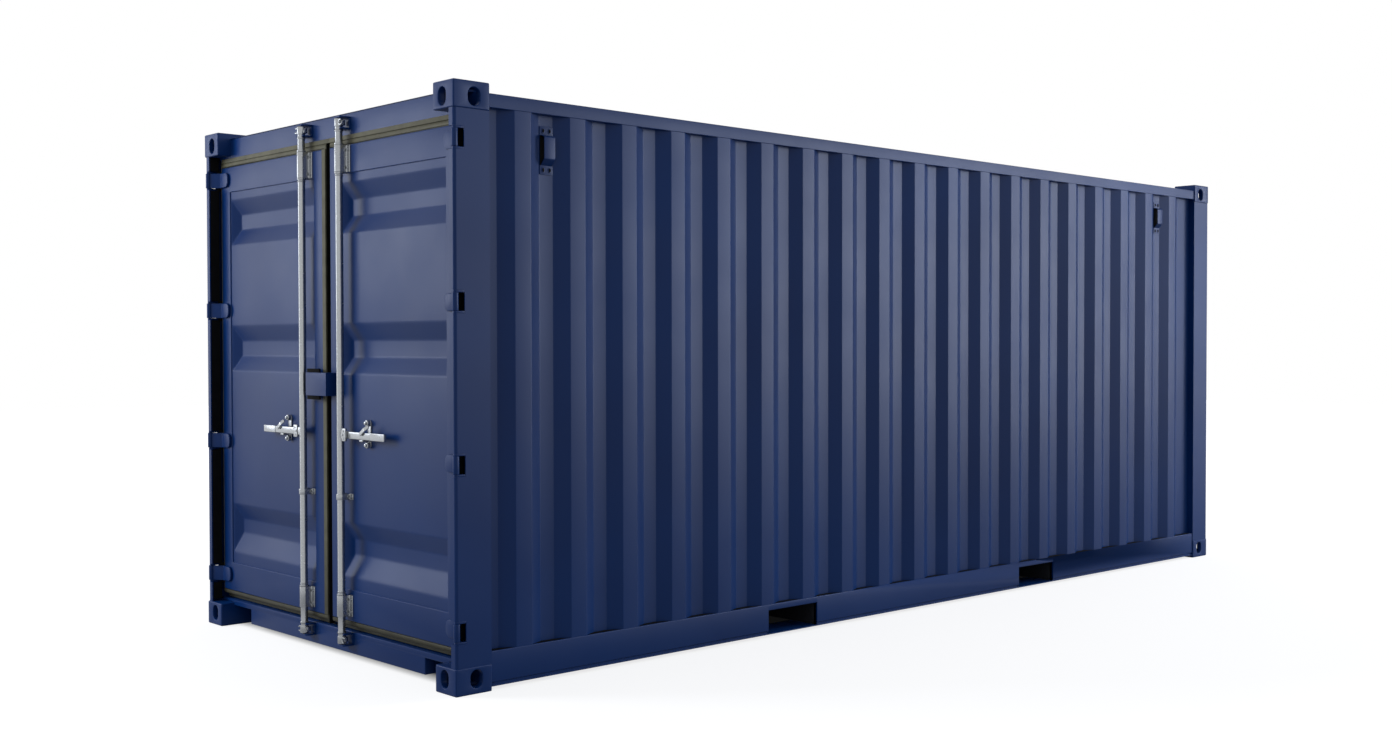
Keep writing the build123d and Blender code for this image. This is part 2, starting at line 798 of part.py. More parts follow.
def build():
    os.makedirs("parts", exist_ok=True)
    for level, top in (("bottom", False), ("top", True)):
        right = corner_casting(top)
        back = mirror(right, about=Plane.XZ)
        save(f"casting_door_right_{level}", right)
        save(f"casting_door_left_{level}", mirrored(right))
        save(f"casting_blind_right_{level}", back)
        save(f"casting_blind_left_{level}", mirrored(back))
    save("door_posts", both_sides(door_post()))
    save("blind_posts", both_sides(blind_post()))
    save("top_side_rails", both_sides(top_rail()))
    save("bottom_side_rails", both_sides(bottom_rail()))
    save("door_header", door_header())
    save("door_sill", door_sill())
    save("end_top_rail", end_top_rail())
    save("end_bottom_rail", end_bottom_rail())
    wall = side_wall()
    save("side_wall_right", wall)
    save("side_wall_left", mirrored(wall))
    save("end_wall", end_wall())
    save("roof", roof())
    save("floor", floor())
    save("floor_centre_rail", centre_rail())
    save("crossmembers", crossmembers())
    save("fork_pockets", fork_pockets())
    save("ventilators", ventilators())
    save("cam_keepers", cam_keepers())
    save("hinge_lugs", hinge_lugs())
    for name, make in (
            ("leaf_frame", leaf_frame), ("leaf_panel", leaf_panel), ("hinge_blades", hinge_blades),
            ("rod_bearings", rod_bearings), ("handle_retainer", handle_retainer),
            ("lock_box", lock_box), ("lock_rod", lock_rod), ("handle", handle)):
        shape = make()
        save(f"{name}_right", shape)
        save(f"{name}_left", mirrored(shape))
    save("leaf_seal_right", leaf_seal(1))
    save("leaf_seal_left", mirrored(leaf_seal(-1)))


build()
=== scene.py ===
import json
import math
import bmesh
import bpy
import numpy as np
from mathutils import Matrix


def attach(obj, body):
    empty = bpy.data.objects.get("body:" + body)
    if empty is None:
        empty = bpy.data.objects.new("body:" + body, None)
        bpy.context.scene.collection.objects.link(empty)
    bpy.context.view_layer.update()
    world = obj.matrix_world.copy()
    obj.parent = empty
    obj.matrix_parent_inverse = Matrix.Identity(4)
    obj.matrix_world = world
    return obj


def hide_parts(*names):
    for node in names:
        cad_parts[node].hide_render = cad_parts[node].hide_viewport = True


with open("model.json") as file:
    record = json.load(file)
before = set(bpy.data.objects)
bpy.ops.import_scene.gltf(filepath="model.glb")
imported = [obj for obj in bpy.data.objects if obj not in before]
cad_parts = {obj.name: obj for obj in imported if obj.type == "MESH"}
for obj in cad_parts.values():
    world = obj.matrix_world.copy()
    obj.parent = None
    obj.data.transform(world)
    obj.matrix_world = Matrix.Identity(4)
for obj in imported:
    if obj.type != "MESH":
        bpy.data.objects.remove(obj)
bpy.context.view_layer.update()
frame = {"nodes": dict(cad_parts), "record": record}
nodes = frame["nodes"]
print("frame loaded:", len(nodes), "CAD nodes")

millimetre = 0.001
sides = (("right", 1), ("left", -1))
# a noise stays nearly always between these two, so a span from one to the other is used whole
noiseLow, noiseHigh = 0.3, 0.7


# Shapes. Lengths are in millimetres; a shell is (points, loop indices, loop counts).

def rowsOf(*columns):
    return np.stack(np.broadcast_arrays(*[np.asarray(c, float) for c in columns]), -1)


def quadShell(points, quads):
    return np.asarray(points, float).reshape(-1, 3), quads.ravel(), np.full(len(quads), 4)


def joined(shells):
    # puts shells one after the other, shifting each one's indices past the points before it
    starts = np.cumsum([0] + [len(s[0]) for s in shells[:-1]])
    points = np.concatenate([s[0] for s in shells])
    loops = np.concatenate([s[1] + first for s, first in zip(shells, starts)])
    return points, loops, np.concatenate([s[2] for s in shells])


def roundedOutline(corners, radii, inset=0, steps=5):
    # Every corner of a closed line turns into an arc. The arc is the weighted quadratic
    # curve from tangent point to tangent point, with the sine of half the corner as weight.
    # An inset moves the line inwards and takes the same off (or puts it on) each radius.
    corners = np.asarray(corners, float)
    radii = np.broadcast_to(np.asarray(radii, float), len(corners))
    back, ahead = np.roll(corners, 1, 0) - corners, np.roll(corners, -1, 0) - corners
    back /= np.linalg.norm(back, axis=1, keepdims=True)
    ahead /= np.linalg.norm(ahead, axis=1, keepdims=True)
    half = np.maximum(np.arccos(np.clip((back * ahead).sum(1), -1, 1)) / 2, 1e-6)
    turn = np.sign(ahead[:, 0] * back[:, 1] - ahead[:, 1] * back[:, 0])
    after = np.roll(corners, -1, 0)
    area = (corners[:, 0] * after[:, 1] - after[:, 0] * corners[:, 1]).sum()
    outward = turn * np.sign(area)
    inwards = back + ahead
    inwards /= np.maximum(np.linalg.norm(inwards, axis=1, keepdims=True), 1e-9)
    corners = corners + inwards * (outward * inset / np.sin(half))[:, None]
    reach = np.maximum(radii - outward * inset, 0) / np.tan(half)
    start, end = corners + back * reach[:, None], corners + ahead * reach[:, None]
    t = np.linspace(0, 1, steps + 1)[None, :, None]
    weight = 2 * np.sin(half)[:, None, None] * t * (1 - t)
    curve = (1 - t) ** 2 * start[:, None] + weight * corners[:, None] + t ** 2 * end[:, None]
    return (curve / ((1 - t) ** 2 + weight + t ** 2)).reshape(-1, 2)


def loft(rings, closed=False):
    # joins closed loops by quads; the end loops get one face each, or join up when closed
    rings = np.asarray(rings, float)
    count, around = rings.shape[:2]
    index = np.arange(count * around).reshape(count, around)
    lower = index if closed else index[:-1]
    upper = np.roll(index, -1, 0) if closed else index[1:]
    quads = np.stack([lower, np.roll(lower, -1, 1), np.roll(upper, -1, 1), upper], -1)
    points, loops, counts = quadShell(rings, quads.reshape(-1, 4))
    if not closed:
        loops = np.concatenate([loops, index[0][::-1], index[-1]])
        counts = np.concatenate([counts, [around, around]])
    return points, loops, counts


def slab(front, back):
    # the solid between two grids of points, with a strip of quads round their border
    rows, columns = front.shape[:2]
    index = np.arange(rows * columns).reshape(rows, columns)
    quads = np.stack([index[:-1, :-1], index[:-1, 1:], index[1:, 1:], index[1:, :-1]], -1)
    quads = quads.reshape(-1, 4)
    rim = np.concatenate([index[0], index[1:, -1], index[-1, -2::-1], index[-2:0:-1, 0]])
    far = index.size
    strip = np.stack([rim, rim + far, np.roll(rim, -1) + far, np.roll(rim, -1)], -1)
    points = np.concatenate([front.reshape(-1, 3), back.reshape(-1, 3)])
    return quadShell(points, np.concatenate([quads, quads[:, ::-1] + far, strip]))


def placed(shell, axes="xyz", at=(0, 0, 0), flip=1):
    # turns a shell's own axes into the named ones, moves it, and mirrors it left for flip -1
    points, loops, counts = shell
    turned = np.empty_like(points)
    turned[:, ["xyz".index(a) for a in axes]] = points
    return (turned + np.asarray(at, float)) * (flip, 1, 1), loops, counts


def softPlate(corners, radii, low, high, edge=1, steps=5, edgeSteps=3):
    # An outline raised from low to high. Its rims are quarter rounds: at the angle a the
    # outline stands in by edge * (1 - sin a) and stands edge * (1 - cos a) off the face.
    angles = np.linspace(0, math.pi / 2, edgeSteps + 1)
    inset, lift = edge * (1 - np.sin(angles)), edge * (1 - np.cos(angles))
    insets = np.concatenate([inset, inset[::-1]])
    levels = np.concatenate([low + lift, high - lift[::-1]])
    loops = [roundedOutline(corners, radii, i, steps) for i in insets]
    return loft([np.column_stack([loop, np.full(len(loop), z)]) for loop, z in zip(loops, levels)])


def plateAlongX(outline, *shape):
    # a soft plate whose outline is given in Y and Z
    return placed(softPlate(outline, *shape), "yzx")


def plateAlongY(outline, *shape):
    # a soft plate whose outline is given in X and Z
    return placed(softPlate(outline, *shape), "xzy")


def bothSides(shells):
    return [placed(s, flip=sign) for _, sign in sides for s in shells]


def turnedShape(profile, segments=32):
    # a profile of (radius, height) turned round the third axis
    profile = np.asarray(profile, float)
    angle = np.linspace(0, 2 * math.pi, segments, endpoint=False)
    radius, level = profile[:, :1], profile[:, 1:]
    return loft(rowsOf(radius * np.cos(angle), radius * np.sin(angle), level))


def turnedBar(steps, soft=1, segments=32):
    # a turned bar given as (radius, height) steps from one end to the other, its corners
    # rounded and both ends closed on the axis
    steps = np.asarray(steps, float)
    corners = np.vstack([[0, steps[0, 1]], steps, [0, steps[-1, 1]]])
    radii = np.full(len(corners), soft)
    radii[[0, -1]] = 0
    return turnedShape(roundedOutline(corners, radii, 0, 3), segments)


def rectangle(x0, x1, y0, y1):
    return [(x0, y0), (x1, y0), (x1, y1), (x0, y1)]


def ramp(s, soft):
    # zero below -soft, s above +soft, and a parabola between
    return np.clip(s + soft, 0, 2 * soft) ** 2 / (4 * soft) + np.clip(s - soft, 0, None)


def softStep(t, soft):
    # 0 to 1 while t goes 0 to 1, with both bends rounded
    return ramp(t, soft) - ramp(t - 1, soft)


def newObject(name, data):
    item = bpy.data.objects.new(name, data)
    bpy.context.scene.collection.objects.link(item)
    return item


def addPiece(name, shells, body, material, replaced=(), crease=32):
    # one mesh object from closed shells; it rides on a CAD body and may stand for CAD nodes.
    # Edges sharper than the crease angle, in degrees, stay sharp.
    points, loops, counts = joined(shells)
    mesh = bpy.data.meshes.new(name)
    mesh.vertices.add(len(points))
    mesh.vertices.foreach_set("co", (points * millimetre).ravel().astype(np.float32))
    mesh.loops.add(len(loops))
    mesh.loops.foreach_set("vertex_index", loops.astype(np.int32))
    mesh.polygons.add(len(counts))
    starts = np.concatenate([[0], np.cumsum(counts)[:-1]])
    mesh.polygons.foreach_set("loop_start", starts.astype(np.int32))
    mesh.update(calc_edges=True)
    work = bmesh.new()
    work.from_mesh(mesh)
    bmesh.ops.remove_doubles(work, verts=work.verts, dist=2e-6)
    bmesh.ops.dissolve_degenerate(work, edges=work.edges, dist=1e-6)
    bmesh.ops.recalc_face_normals(work, faces=work.faces)
    work.to_mesh(mesh)
    work.free()
    mesh.validate()
    mesh.shade_smooth()
    mesh.set_sharp_from_angle(angle=math.radians(crease))
    mesh.materials.append(material)
    piece = newObject(name, mesh)
    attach(piece, body)
    if replaced:
        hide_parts(*replaced)
    return piece


# Materials

def linear(code):
    # sRGB hex to linear light
    channels = np.array([int(code[i:i + 2], 16) for i in (1, 3, 5)]) / 255
    value = np.where(channels <= 0.04045, channels / 12.92, ((channels + 0.055) / 1.055) ** 2.4)
    return (*value.tolist(), 1)


def addNode(tree, kind, inputs=None, **settings):
    # a shader node with its settings; an input gets a link from a socket or a node's first
    # output, or else a plain value
    node = tree.nodes.new("ShaderNode" + kind)
    for key, value in settings.items():
        setattr(node, key, value)
    for key, value in (inputs or {}).items():
        source = value.outputs[0] if isinstance(value, bpy.types.Node) else value
        if isinstance(source, bpy.types.NodeSocket):
            tree.links.new(source, node.inputs[key])
        else:
            node.inputs[key].default_value = source
    return node


def newMaterial(name):
    material = bpy.data.materials.new(name)
    material.use_nodes = True
    tree = material.node_tree
    tree.nodes.clear()
    return material, tree, addNode(tree, "TexCoord").outputs["Object"]


def perMetre(cellMm):
    return 1000 / cellMm


paintLook = {
    "body": "#082f66", "shade": "#05285b", "roughness": 0.36, "roughSwing": 0.03,
    "specular": 0.165, "cloudMm": 900, "streakMm": 300, "peelMm": 7, "peelHeightMm": 0.05,
    "peelStrength": 0.35, "grainStrength": 0.4}


def drifting(tree, place, sizeMm, detail, low, high, to="Mix"):
    # a noise of that size which drifts between two colours, or between two values
    noise = addNode(tree, "TexNoise", {
        "Vector": place, "Scale": perMetre(sizeMm), "Detail": detail})
    span = {"Value": noise, "From Min": noiseLow, "From Max": noiseHigh}
    if to == "MapRange":
        return addNode(tree, "MapRange", {**span, "To Min": low, "To Max": high})
    share = addNode(tree, "MapRange", span)
    return addNode(tree, "Mix", {
        0: share, 6: linear(low), 7: linear(high)}, data_type="RGBA").outputs[2]


def uneven(tree, place, sizeMm, heightMm, strength, detail=2, **over):
    # the bump of a noise of that size and height, laid over another bump if one is given
    noise = addNode(tree, "TexNoise", {
        "Vector": place, "Scale": perMetre(sizeMm), "Detail": detail})
    return addNode(tree, "Bump", {
        "Height": noise, **over, "Strength": strength, "Distance": heightMm * millimetre})


def surfaced(material, tree, colour, normal, inputs):
    shader = addNode(tree, "BsdfPrincipled", {
        "Base Color": colour, "Normal": normal, **inputs})
    addNode(tree, "OutputMaterial", {"Surface": shader})
    return material


def marinePaint(name, look, grainMm, grainHeightMm):
    # Two-coat marine enamel sprayed on blasted steel: satin, a faint orange peel and a
    # slow drift of tone where the coats overlap. The peel is really 2 mm across; it is
    # drawn coarser so that it shows.
    material, tree, place = newMaterial(name)
    colour = drifting(tree, place, look["cloudMm"], 2, look["shade"], look["body"])
    roughness, swing = look["roughness"], look["roughSwing"]
    rough = drifting(
        tree, place, look["streakMm"], 3, roughness - swing, roughness + swing, "MapRange")
    peel = uneven(tree, place, look["peelMm"], look["peelHeightMm"], look["peelStrength"], 3)
    grain = uneven(
        tree, place, grainMm, grainHeightMm, look["grainStrength"], 3, Normal=peel)
    return surfaced(material, tree, colour, grain, {
        "Roughness": rough, "Specular IOR Level": look["specular"]})


def hotDipZinc(name, look):
    # Hot-dip galvanised forged steel: nearly bare metal under a thin grey patina, with zinc
    # crystals a few millimetres across that each mirror a little differently.
    material, tree, place = newMaterial(name)
    crystals = addNode(tree, "TexVoronoi", {"Vector": place, "Scale": perMetre(look["crystalMm"])})
    tone = addNode(tree, "RGBToBW", {"Color": crystals.outputs["Color"]})
    colour = addNode(tree, "Mix", {
        0: tone, 6: linear(look["dull"]), 7: linear(look["bright"])}, data_type="RGBA")
    rough = addNode(tree, "MapRange", {
        "Value": tone, "To Min": look["roughness"] - look["roughSwing"],
        "To Max": look["roughness"] + look["roughSwing"]})
    dimples = uneven(tree, place, look["dimpleMm"], look["dimpleHeightMm"], look["bump"])
    return surfaced(material, tree, colour.outputs[2], dimples, {
        "Roughness": rough, "Metallic": look["metal"]})


# the near-black colour and the two heights of the painted shade at the rubber's foot
rubberForm = {
    "bloomMm": 60, "skinMm": 4, "skinHeightMm": 0.08, "bump": 0.3, "footShade": "#0c0b09",
    "footShadeFrom": 0.15, "footShadeTo": 0.6}


def sealRubber(name, look, form):
    # Extruded EPDM rubber: dull, with a chalky bloom in patches, and painted shade that darkens
    # it towards its foot and fades out between two heights in metres
    material, tree, place = newMaterial(name)
    rubberTone = drifting(tree, place, form["bloomMm"], 2, look["dark"], look["bloom"])
    level = addNode(tree, "SeparateXYZ", {"Vector": place}).outputs["Z"]
    # painted shade: its share of near black is full below the lower height and gone above the upper
    # one
    footShade = addNode(tree, "MapRange", {
        "Value": level, "From Min": form["footShadeFrom"], "From Max": form["footShadeTo"],
        "To Min": look["footShade"], "To Max": 0})
    colour = addNode(tree, "Mix", {
        0: footShade, 6: rubberTone, 7: linear(form["footShade"])}, data_type="RGBA")
    skin = uneven(tree, place, form["skinMm"], form["skinHeightMm"], form["bump"])
    return surfaced(material, tree, colour.outputs[2], skin, {
        "Roughness": look["roughness"], "Specular IOR Level": look["specular"]})


def floorPlywood(name, look):
    # Hardwood plywood, oiled: long grain along the container and a joint every board, whose
    # width and length are in metres
    material, tree, place = newMaterial(name)
    stretched = addNode(tree, "Mapping", {"Vector": place, "Scale": (1, look["grainStretch"], 1)})
    grain = addNode(tree, "TexNoise", {
        "Vector": stretched, "Scale": perMetre(look["grainMm"]), "Detail": 6, "Roughness": 0.65})
    amount = addNode(tree, "MapRange", {
        "Value": grain, "From Min": noiseLow, "From Max": noiseHigh, "To Max": look["grainShare"]})
    board = addNode(tree, "TexBrick", {
        "Vector": place, "Color1": linear(look["light"]), "Color2": linear(look["mid"]),
        "Mortar": linear(look["joint"]), "Scale": 1, "Mortar Size": look["boardGap"],
        "Brick Width": look["board"][0], "Row Height": look["board"][1]}, offset=0)
    colour = addNode(tree, "Mix", {
        0: amount, 6: board.outputs["Color"], 7: linear(look["dark"])}, data_type="RGBA")
    bump = addNode(tree, "Bump", {
        "Height": grain, "Strength": look["grainStrength"],
        "Distance": look["grainHeightMm"] * millimetre})
    return surfaced(material, tree, colour.outputs[2], bump, {"Roughness": look["roughness"]})


def bitumenUnderseal(name, look):
    # Brushed-on bitumen underseal: matt and lumpy
    material, tree, place = newMaterial(name)
    colour = drifting(tree, place, look["lumpMm"], 5, look["dark"], look["worn"])
    lumps = uneven(tree, place, look["lumpMm"], look["lumpHeightMm"], look["bump"], 5)
    return surfaced(material, tree, colour, lumps, {
        "Roughness": look["roughness"], "Specular IOR Level": look["specular"]})


sheetPaint = marinePaint("marinePaintOnSheet", paintLook, 240, 0.25)
castPaint = marinePaint("marinePaintOnCastSteel", paintLook, 9, 0.1)
zinc = hotDipZinc("hotDipZinc", {
    "bright": "#a8abae", "dull": "#a0a3a6", "roughness": 0.24, "roughSwing": 0.04, "metal": 0.85,
    "crystalMm": 6, "dimpleMm": 5, "dimpleHeightMm": 0.05, "bump": 0.12})
rubber = sealRubber("epdmRubber", {
    "dark": "#4c4a3a", "bloom": "#5c5a48", "footShade": 0.55, "roughness": 0.62, "specular": 0.35},
    rubberForm)
# a near-black rubber look for pieces that stand for shade: painted shade
paintedShadeBlack = sealRubber("paintedShadeBlackRubber", {
    "dark": "#0b0b0c", "bloom": "#131314", "footShade": 0, "roughness": 0.8, "specular": 0.08},
    rubberForm)
plywood = floorPlywood("oiledPlywood", {
    "light": "#8a5a38", "mid": "#7a4c2e", "dark": "#4a2c1a", "joint": "#1c130d",
    "roughness": 0.55, "grainMm": 18, "grainHeightMm": 0.3, "grainStretch": 0.05,
    "grainStrength": 0.4, "grainShare": 0.75, "board": (1.16, 2.4), "boardGap": 0.0016})
underseal = bitumenUnderseal("bitumenUnderseal", {
    "dark": "#15161a", "worn": "#24262c", "roughness": 0.75, "specular": 0.3, "lumpMm": 12,
    "lumpHeightMm": 0.8, "bump": 0.6})
slotMaterial = {
    "blue_paint": sheetPaint, "casting_paint": castPaint, "zinc": zinc, "seal_rubber": rubber,
    "floor_plywood": plywood, "underframe_coating": underseal}
for row in frame["record"]["subparts"]:
    mesh = nodes[row["node"]].data
    mesh.materials.clear()
    mesh.materials.append(slotMaterial[row["material_slot"]])
print("materials made:", len(slotMaterial))

# Walls and roof

wallForm = {
    "face": 1209, "depth": 36, "sheet": 2, "bend": 9, "span": 5702, "low": 170,
    "high": 2490, "outerFlat": 83, "innerFlat": 73, "slope": 68, "shift": 51.5}
endForm = {
    "face": 3011, "depth": 45.6, "sheet": 2, "bend": 9, "span": 2210, "low": 170,
    "high": 2490, "outerFlat": 110, "innerFlat": 104, "slope": 18, "shift": 0}


def waveLine(form):
    # Trapezoid waves along a wall, (distance, depth), about its middle or nearer to the
    # doors by a shift: the inner flat runs out at both ends. Each bend is an arc.
    wave = form["outerFlat"] + 2 * form["slope"]
    pitch = wave + form["innerFlat"]
    count = int((form["span"] - 2 * form["shift"] - wave) // pitch) + 1
    foot = -((count - 1) * pitch + wave) / 2 - form["shift"] + pitch * np.arange(count)[:, None]
    steps = np.array([0, form["slope"], form["slope"] + form["outerFlat"], wave])
    along = np.concatenate([[-form["span"] / 2], (foot + steps).ravel(), [form["span"] / 2]])
    depth = np.concatenate([[1], np.tile([1, 0, 0, 1], count), [1]]) * form["depth"]
    radii = np.full(len(along), form["bend"])
    radii[[0, -1]] = 0
    line = roundedOutline(np.column_stack([along, depth]), radii, 0, 4)
    return line[np.r_[True, np.abs(np.diff(line, axis=0)).sum(1) > 1e-6]]


def wallSheet(form):
    line = waveLine(form)
    levels = np.array([form["low"], form["high"]])[:, None]
    front = rowsOf(form["face"] - line[:, 1], line[:, 0], levels)
    return slab(front, front - (form["sheet"], 0, 0))


for side, sign in sides:
    addPiece(f"sideWallSheet_{side}", [placed(wallSheet(wallForm), flip=sign)], "container",
             sheetPaint, [f"side_wall_{side}"])


def endSheet(form):
    points, loops, counts = wallSheet(form)
    return points[:, [1, 0, 2]], loops, counts


addPiece("endWallSheet", [endSheet(endForm)], "container", sheetPaint, ["end_wall"])

roofForm = {
    "halfWide": 1181, "tailHalf": 1057, "span": 5702, "tailEnd": 3011, "top": 2552,
    "sheet": 2, "pitch": 209, "ribWide": 118, "ribSlope": 14, "ribHigh": 14,
    "endGap": 60, "soft": 0.25}


def roofSheets(form):
    # Height over the plane of the roof: rib height times the lesser of a step across the
    # roof and a step across the nearest rib, both with rounded bends.
    wide, end, halfRib = form["halfWide"], form["span"] / 2, form["ribWide"] / 2
    slope, soft, edge = form["ribSlope"], form["soft"], wide - form["endGap"]
    count = int((form["span"] - 2 * form["endGap"] - form["ribWide"]) // form["pitch"]) + 1
    middles = (np.arange(count) - (count - 1) / 2) * form["pitch"]
    cuts = np.linspace(-soft, 1 + soft, 9) * slope
    ribCuts = np.concatenate([cuts - halfRib, (halfRib - cuts)[::-1]])
    along = np.concatenate([[-end], (middles[:, None] + ribCuts).ravel(), [end]])
    across = np.concatenate([[-wide], cuts - edge, (edge - cuts)[::-1], [wide]])
    x, y = np.meshgrid(across, along)
    nearest = np.abs(y[..., None] - middles).min(-1)
    rise = np.minimum((edge - np.abs(x)) / slope, (halfRib - nearest) / slope)
    top = rowsOf(x, y, form["top"] + form["ribHigh"] * softStep(rise, soft))
    tailX, tailY = np.meshgrid([-form["tailHalf"], form["tailHalf"]], [end, form["tailEnd"]])
    tail = rowsOf(tailX, tailY, form["top"])
    drop = (0, 0, form["sheet"])
    return [slab(top, top - drop), slab(tail, tail - drop)]


addPiece("roofSheet", roofSheets(roofForm), "container", sheetPaint, ["roof"])
print("walls and roof pressed")

# Corner castings

castForm = {
    "low": (1057, -3029, 0), "high": (1219, -2851, 118), "wall": 28,
    "backWall": 16, "edge": 6, "holeEdge": 3, "slot": (63.5, 124.5), "hole": (60, 79.5),
    "holeAt": (1130, -2927.5), "holeLevel": 65, "boxHigh": 2591}


def stadiumHits(outer, centre, wide, tall):
    # where the lines from a slot's centre to the outer points leave the slot
    ray = outer - centre
    ray /= np.linalg.norm(ray, axis=-1, keepdims=True)
    radius, straight = wide / 2, (tall - wide) / 2
    across, up = np.abs(ray[..., 0]), np.abs(ray[..., 1])
    side = radius / np.maximum(across, 1e-9)
    end = straight * up + np.sqrt(np.maximum(radius ** 2 - (straight * across) ** 2, 0))
    return centre + ray * np.where(side * up <= straight, side, end)[..., None]


def squareLoop(low, high, inset, count):
    # stations round a rectangle that lies in by the inset, the same number on each side
    t = np.linspace(0, 1, count, endpoint=False)[:, None]
    a, b = np.asarray(low, float) + inset, np.asarray(high, float) - inset
    corners = np.array([[a[0], a[1]], [b[0], a[1]], [b[0], b[1]], [a[0], b[1]]])
    return (corners[:, None] * (1 - t) + np.roll(corners, -1, 0)[:, None] * t).reshape(-1, 2)


def castFace(low, high, level, sense, hole, edge, depth, holeEdge, count=14):
    # One face of a box as loops from its rim inwards, then down the wall of its hole.
    # (first, second, height) with the height along the face's own axis.
    insets = edge * (1 - np.linspace(0, 1, 5)) if edge else [0]
    flats = [squareLoop(low, high, edge - i, count) for i in insets]
    levels = [level] * len(flats)
    if hole is not None:
        centre, wide, tall = hole
        rim = squareLoop(low, high, edge, count)
        angles = np.linspace(0, math.pi / 2, 4)
        for a in angles:
            grow = holeEdge * (1 - math.sin(a))
            flats.append(stadiumHits(rim, centre, wide + 2 * grow, tall + 2 * grow))
            levels.append(level - sense * holeEdge * (1 - math.cos(a)))
        flats.append(flats[-1])
        levels.append(level - sense * depth)
    return [np.column_stack([f, np.full(len(f), v)]) for f, v in zip(flats, levels)]


def castingShell(form):
    # Twelve faces, six outside and six round the cavity. Outside points nearer than the
    # edge radius to a side are drawn to that distance from the box that lies in by it.
    low, high = np.array(form["low"]), np.array(form["high"])
    hollowLow = low + (form["backWall"], form["wall"], form["wall"])
    hollowHigh = high - (form["wall"], form["backWall"], form["backWall"])
    x, y = form["holeAt"]
    holes = {
        (2, -1): ((x, y), *form["slot"]), (1, -1): ((x, form["holeLevel"]), *form["hole"]),
        (0, 1): ((y, form["holeLevel"]), *form["hole"])}
    shells = []
    for inner in (False, True):
        a, b = (hollowLow, hollowHigh) if inner else (low, high)
        for axis in range(3):
            plane = [i for i in range(3) if i != axis]
            for sense in (-1, 1):
                hole = holes.get((axis, sense))
                level = (b if sense > 0 else a)[axis]
                edges = (0, 0, 0) if inner else (form["edge"], form["wall"], form["holeEdge"])
                rings = np.array(castFace(a[plane], b[plane], level, sense, hole, *edges))
                points, loops, counts = loft(rings)
                quads, around = len(counts) - 2, rings.shape[1]
                loops, counts = loops[:quads * 4], counts[:quads]
                if hole is None:  # the innermost loop is the flat of the face
                    loops = np.append(loops, np.arange(len(points) - around, len(points)))
                    counts = np.append(counts, around)
                turned = np.empty_like(points)
                turned[:, plane + [axis]] = points
                if not inner:
                    core = np.clip(turned, low + form["edge"], high - form["edge"])
                    off = turned - core
                    far = np.linalg.norm(off, axis=1, keepdims=True)
                    onFace = (np.abs(turned[:, axis] - level) < 1e-6)[:, None]
                    rounded = core + off / np.maximum(far, 1e-9) * form["edge"]
                    turned = np.where(onFace, rounded, turned)
                shells.append((turned, loops, counts))
    return joined(shells)


casting = castingShell(castForm)
for end, across in (("door", 1), ("blind", -1)):
    for side, sign in sides:
        for level, upright in (("bottom", 1), ("top", -1)):
            points = casting[0] * (sign, across, upright)
            points = points + (0, 0, 0 if upright > 0 else castForm["boxHigh"])
            addPiece(f"cornerCasting_{end}_{side}_{level}", [(points, *casting[1:])], "container",
                     castPaint, [f"casting_{end}_{side}_{level}"])
print("corner castings made")

# Doors

leafForm = {
    "seam": 31, "edge": 1155, "low": 184, "high": 2415, "face": -2967, "back": -2917,
    "stile": 100, "topBar": 133, "bottomBar": 150, "tubeRound": 6, "panel": -2961,
    "sheet": 2, "depth": 34, "endGap": 4, "endSlope": 50, "soft": 0.09,
    # top edge, height, and the heights of the upper and the lower slope
    "recesses": (
        (2242, 238, 80, 80), (1582, 238, 80, 80), (646, 256, 80, 103))}


def leafPanel(form):
    # Depth of the sheet: for each recess the lesser of a step from its ends and a step
    # from its upper or lower edge, times the depth of the pressing.
    x0, x1 = form["seam"] + form["stile"], form["edge"] - form["stile"]
    left, right = x0 + form["endGap"], x1 - form["endGap"]
    soft = form["soft"]
    # shares of a slope, closer together at its two bends
    bend = np.linspace(-soft, soft, 4)
    cuts = np.concatenate([bend, np.linspace(0.2, 0.8, 7), np.linspace(1 - soft, 1 + soft, 4)])
    endCuts = cuts * form["endSlope"]
    across = np.concatenate([[x0], left + endCuts, (right - endCuts)[::-1], [x1]])
    levels = [form["high"] - form["topBar"], form["low"] + form["bottomBar"]]
    for top, high, first, last in form["recesses"]:
        levels += (top - cuts * first).tolist() + (top - high + cuts * last).tolist()
    x, z = np.meshgrid(across, np.sort(levels))
    ends = np.minimum(x - left, right - x) / form["endSlope"]
    depth = np.zeros_like(x)
    for top, high, first, last in form["recesses"]:
        updown = np.minimum((top - z) / first, (z - top + high) / last)
        depth += softStep(np.minimum(ends, updown), soft) * form["depth"]
    front = rowsOf(x, form["panel"] + depth, z)
    return slab(front, front + (0, form["sheet"], 0))


for side, sign in sides:
    addPiece(f"doorPanel_{side}", [placed(leafPanel(leafForm), flip=sign)], f"door_{side}",
             sheetPaint, [f"leaf_panel_{side}"])
print("door panels pressed")


def frameRing(rings):
    # rectangles given as (low corner, high corner, inset, depth), joined into a closed ring
    # that lies in the plane of the door
    loops = [np.column_stack([squareLoop(low, high, inset, 1), np.full(4, depth)])
             for low, high, inset, depth in rings]
    return placed(loft(loops, closed=True), "xzy")


def leafTubes(form):
    # Rounded tube round the leaf: quarter rounds at its four long edges, each point of the
    # section being a rectangle that lies in from the outer line or out from the inner one.
    outer = ((form["seam"], form["low"]), (form["edge"], form["high"]))
    inner = (
        (form["seam"] + form["stile"], form["low"] + form["bottomBar"]),
        (form["edge"] - form["stile"], form["high"] - form["topBar"]))
    r = form["tubeRound"]
    turn = np.linspace(0, math.pi / 2, 5)
    inset, lift = r * (1 - np.sin(turn)), r * (1 - np.cos(turn))
    rings = [(*outer, i, form["face"] + d) for i, d in zip(inset, lift)]
    rings += [(*outer, i, form["back"] - d) for i, d in zip(inset[::-1], lift[::-1])]
    rings += [(*inner, -i, form["back"] - d) for i, d in zip(inset, lift)]
    rings += [(*inner, -i, form["face"] + d) for i, d in zip(inset[::-1], lift[::-1])]
    return frameRing(rings)


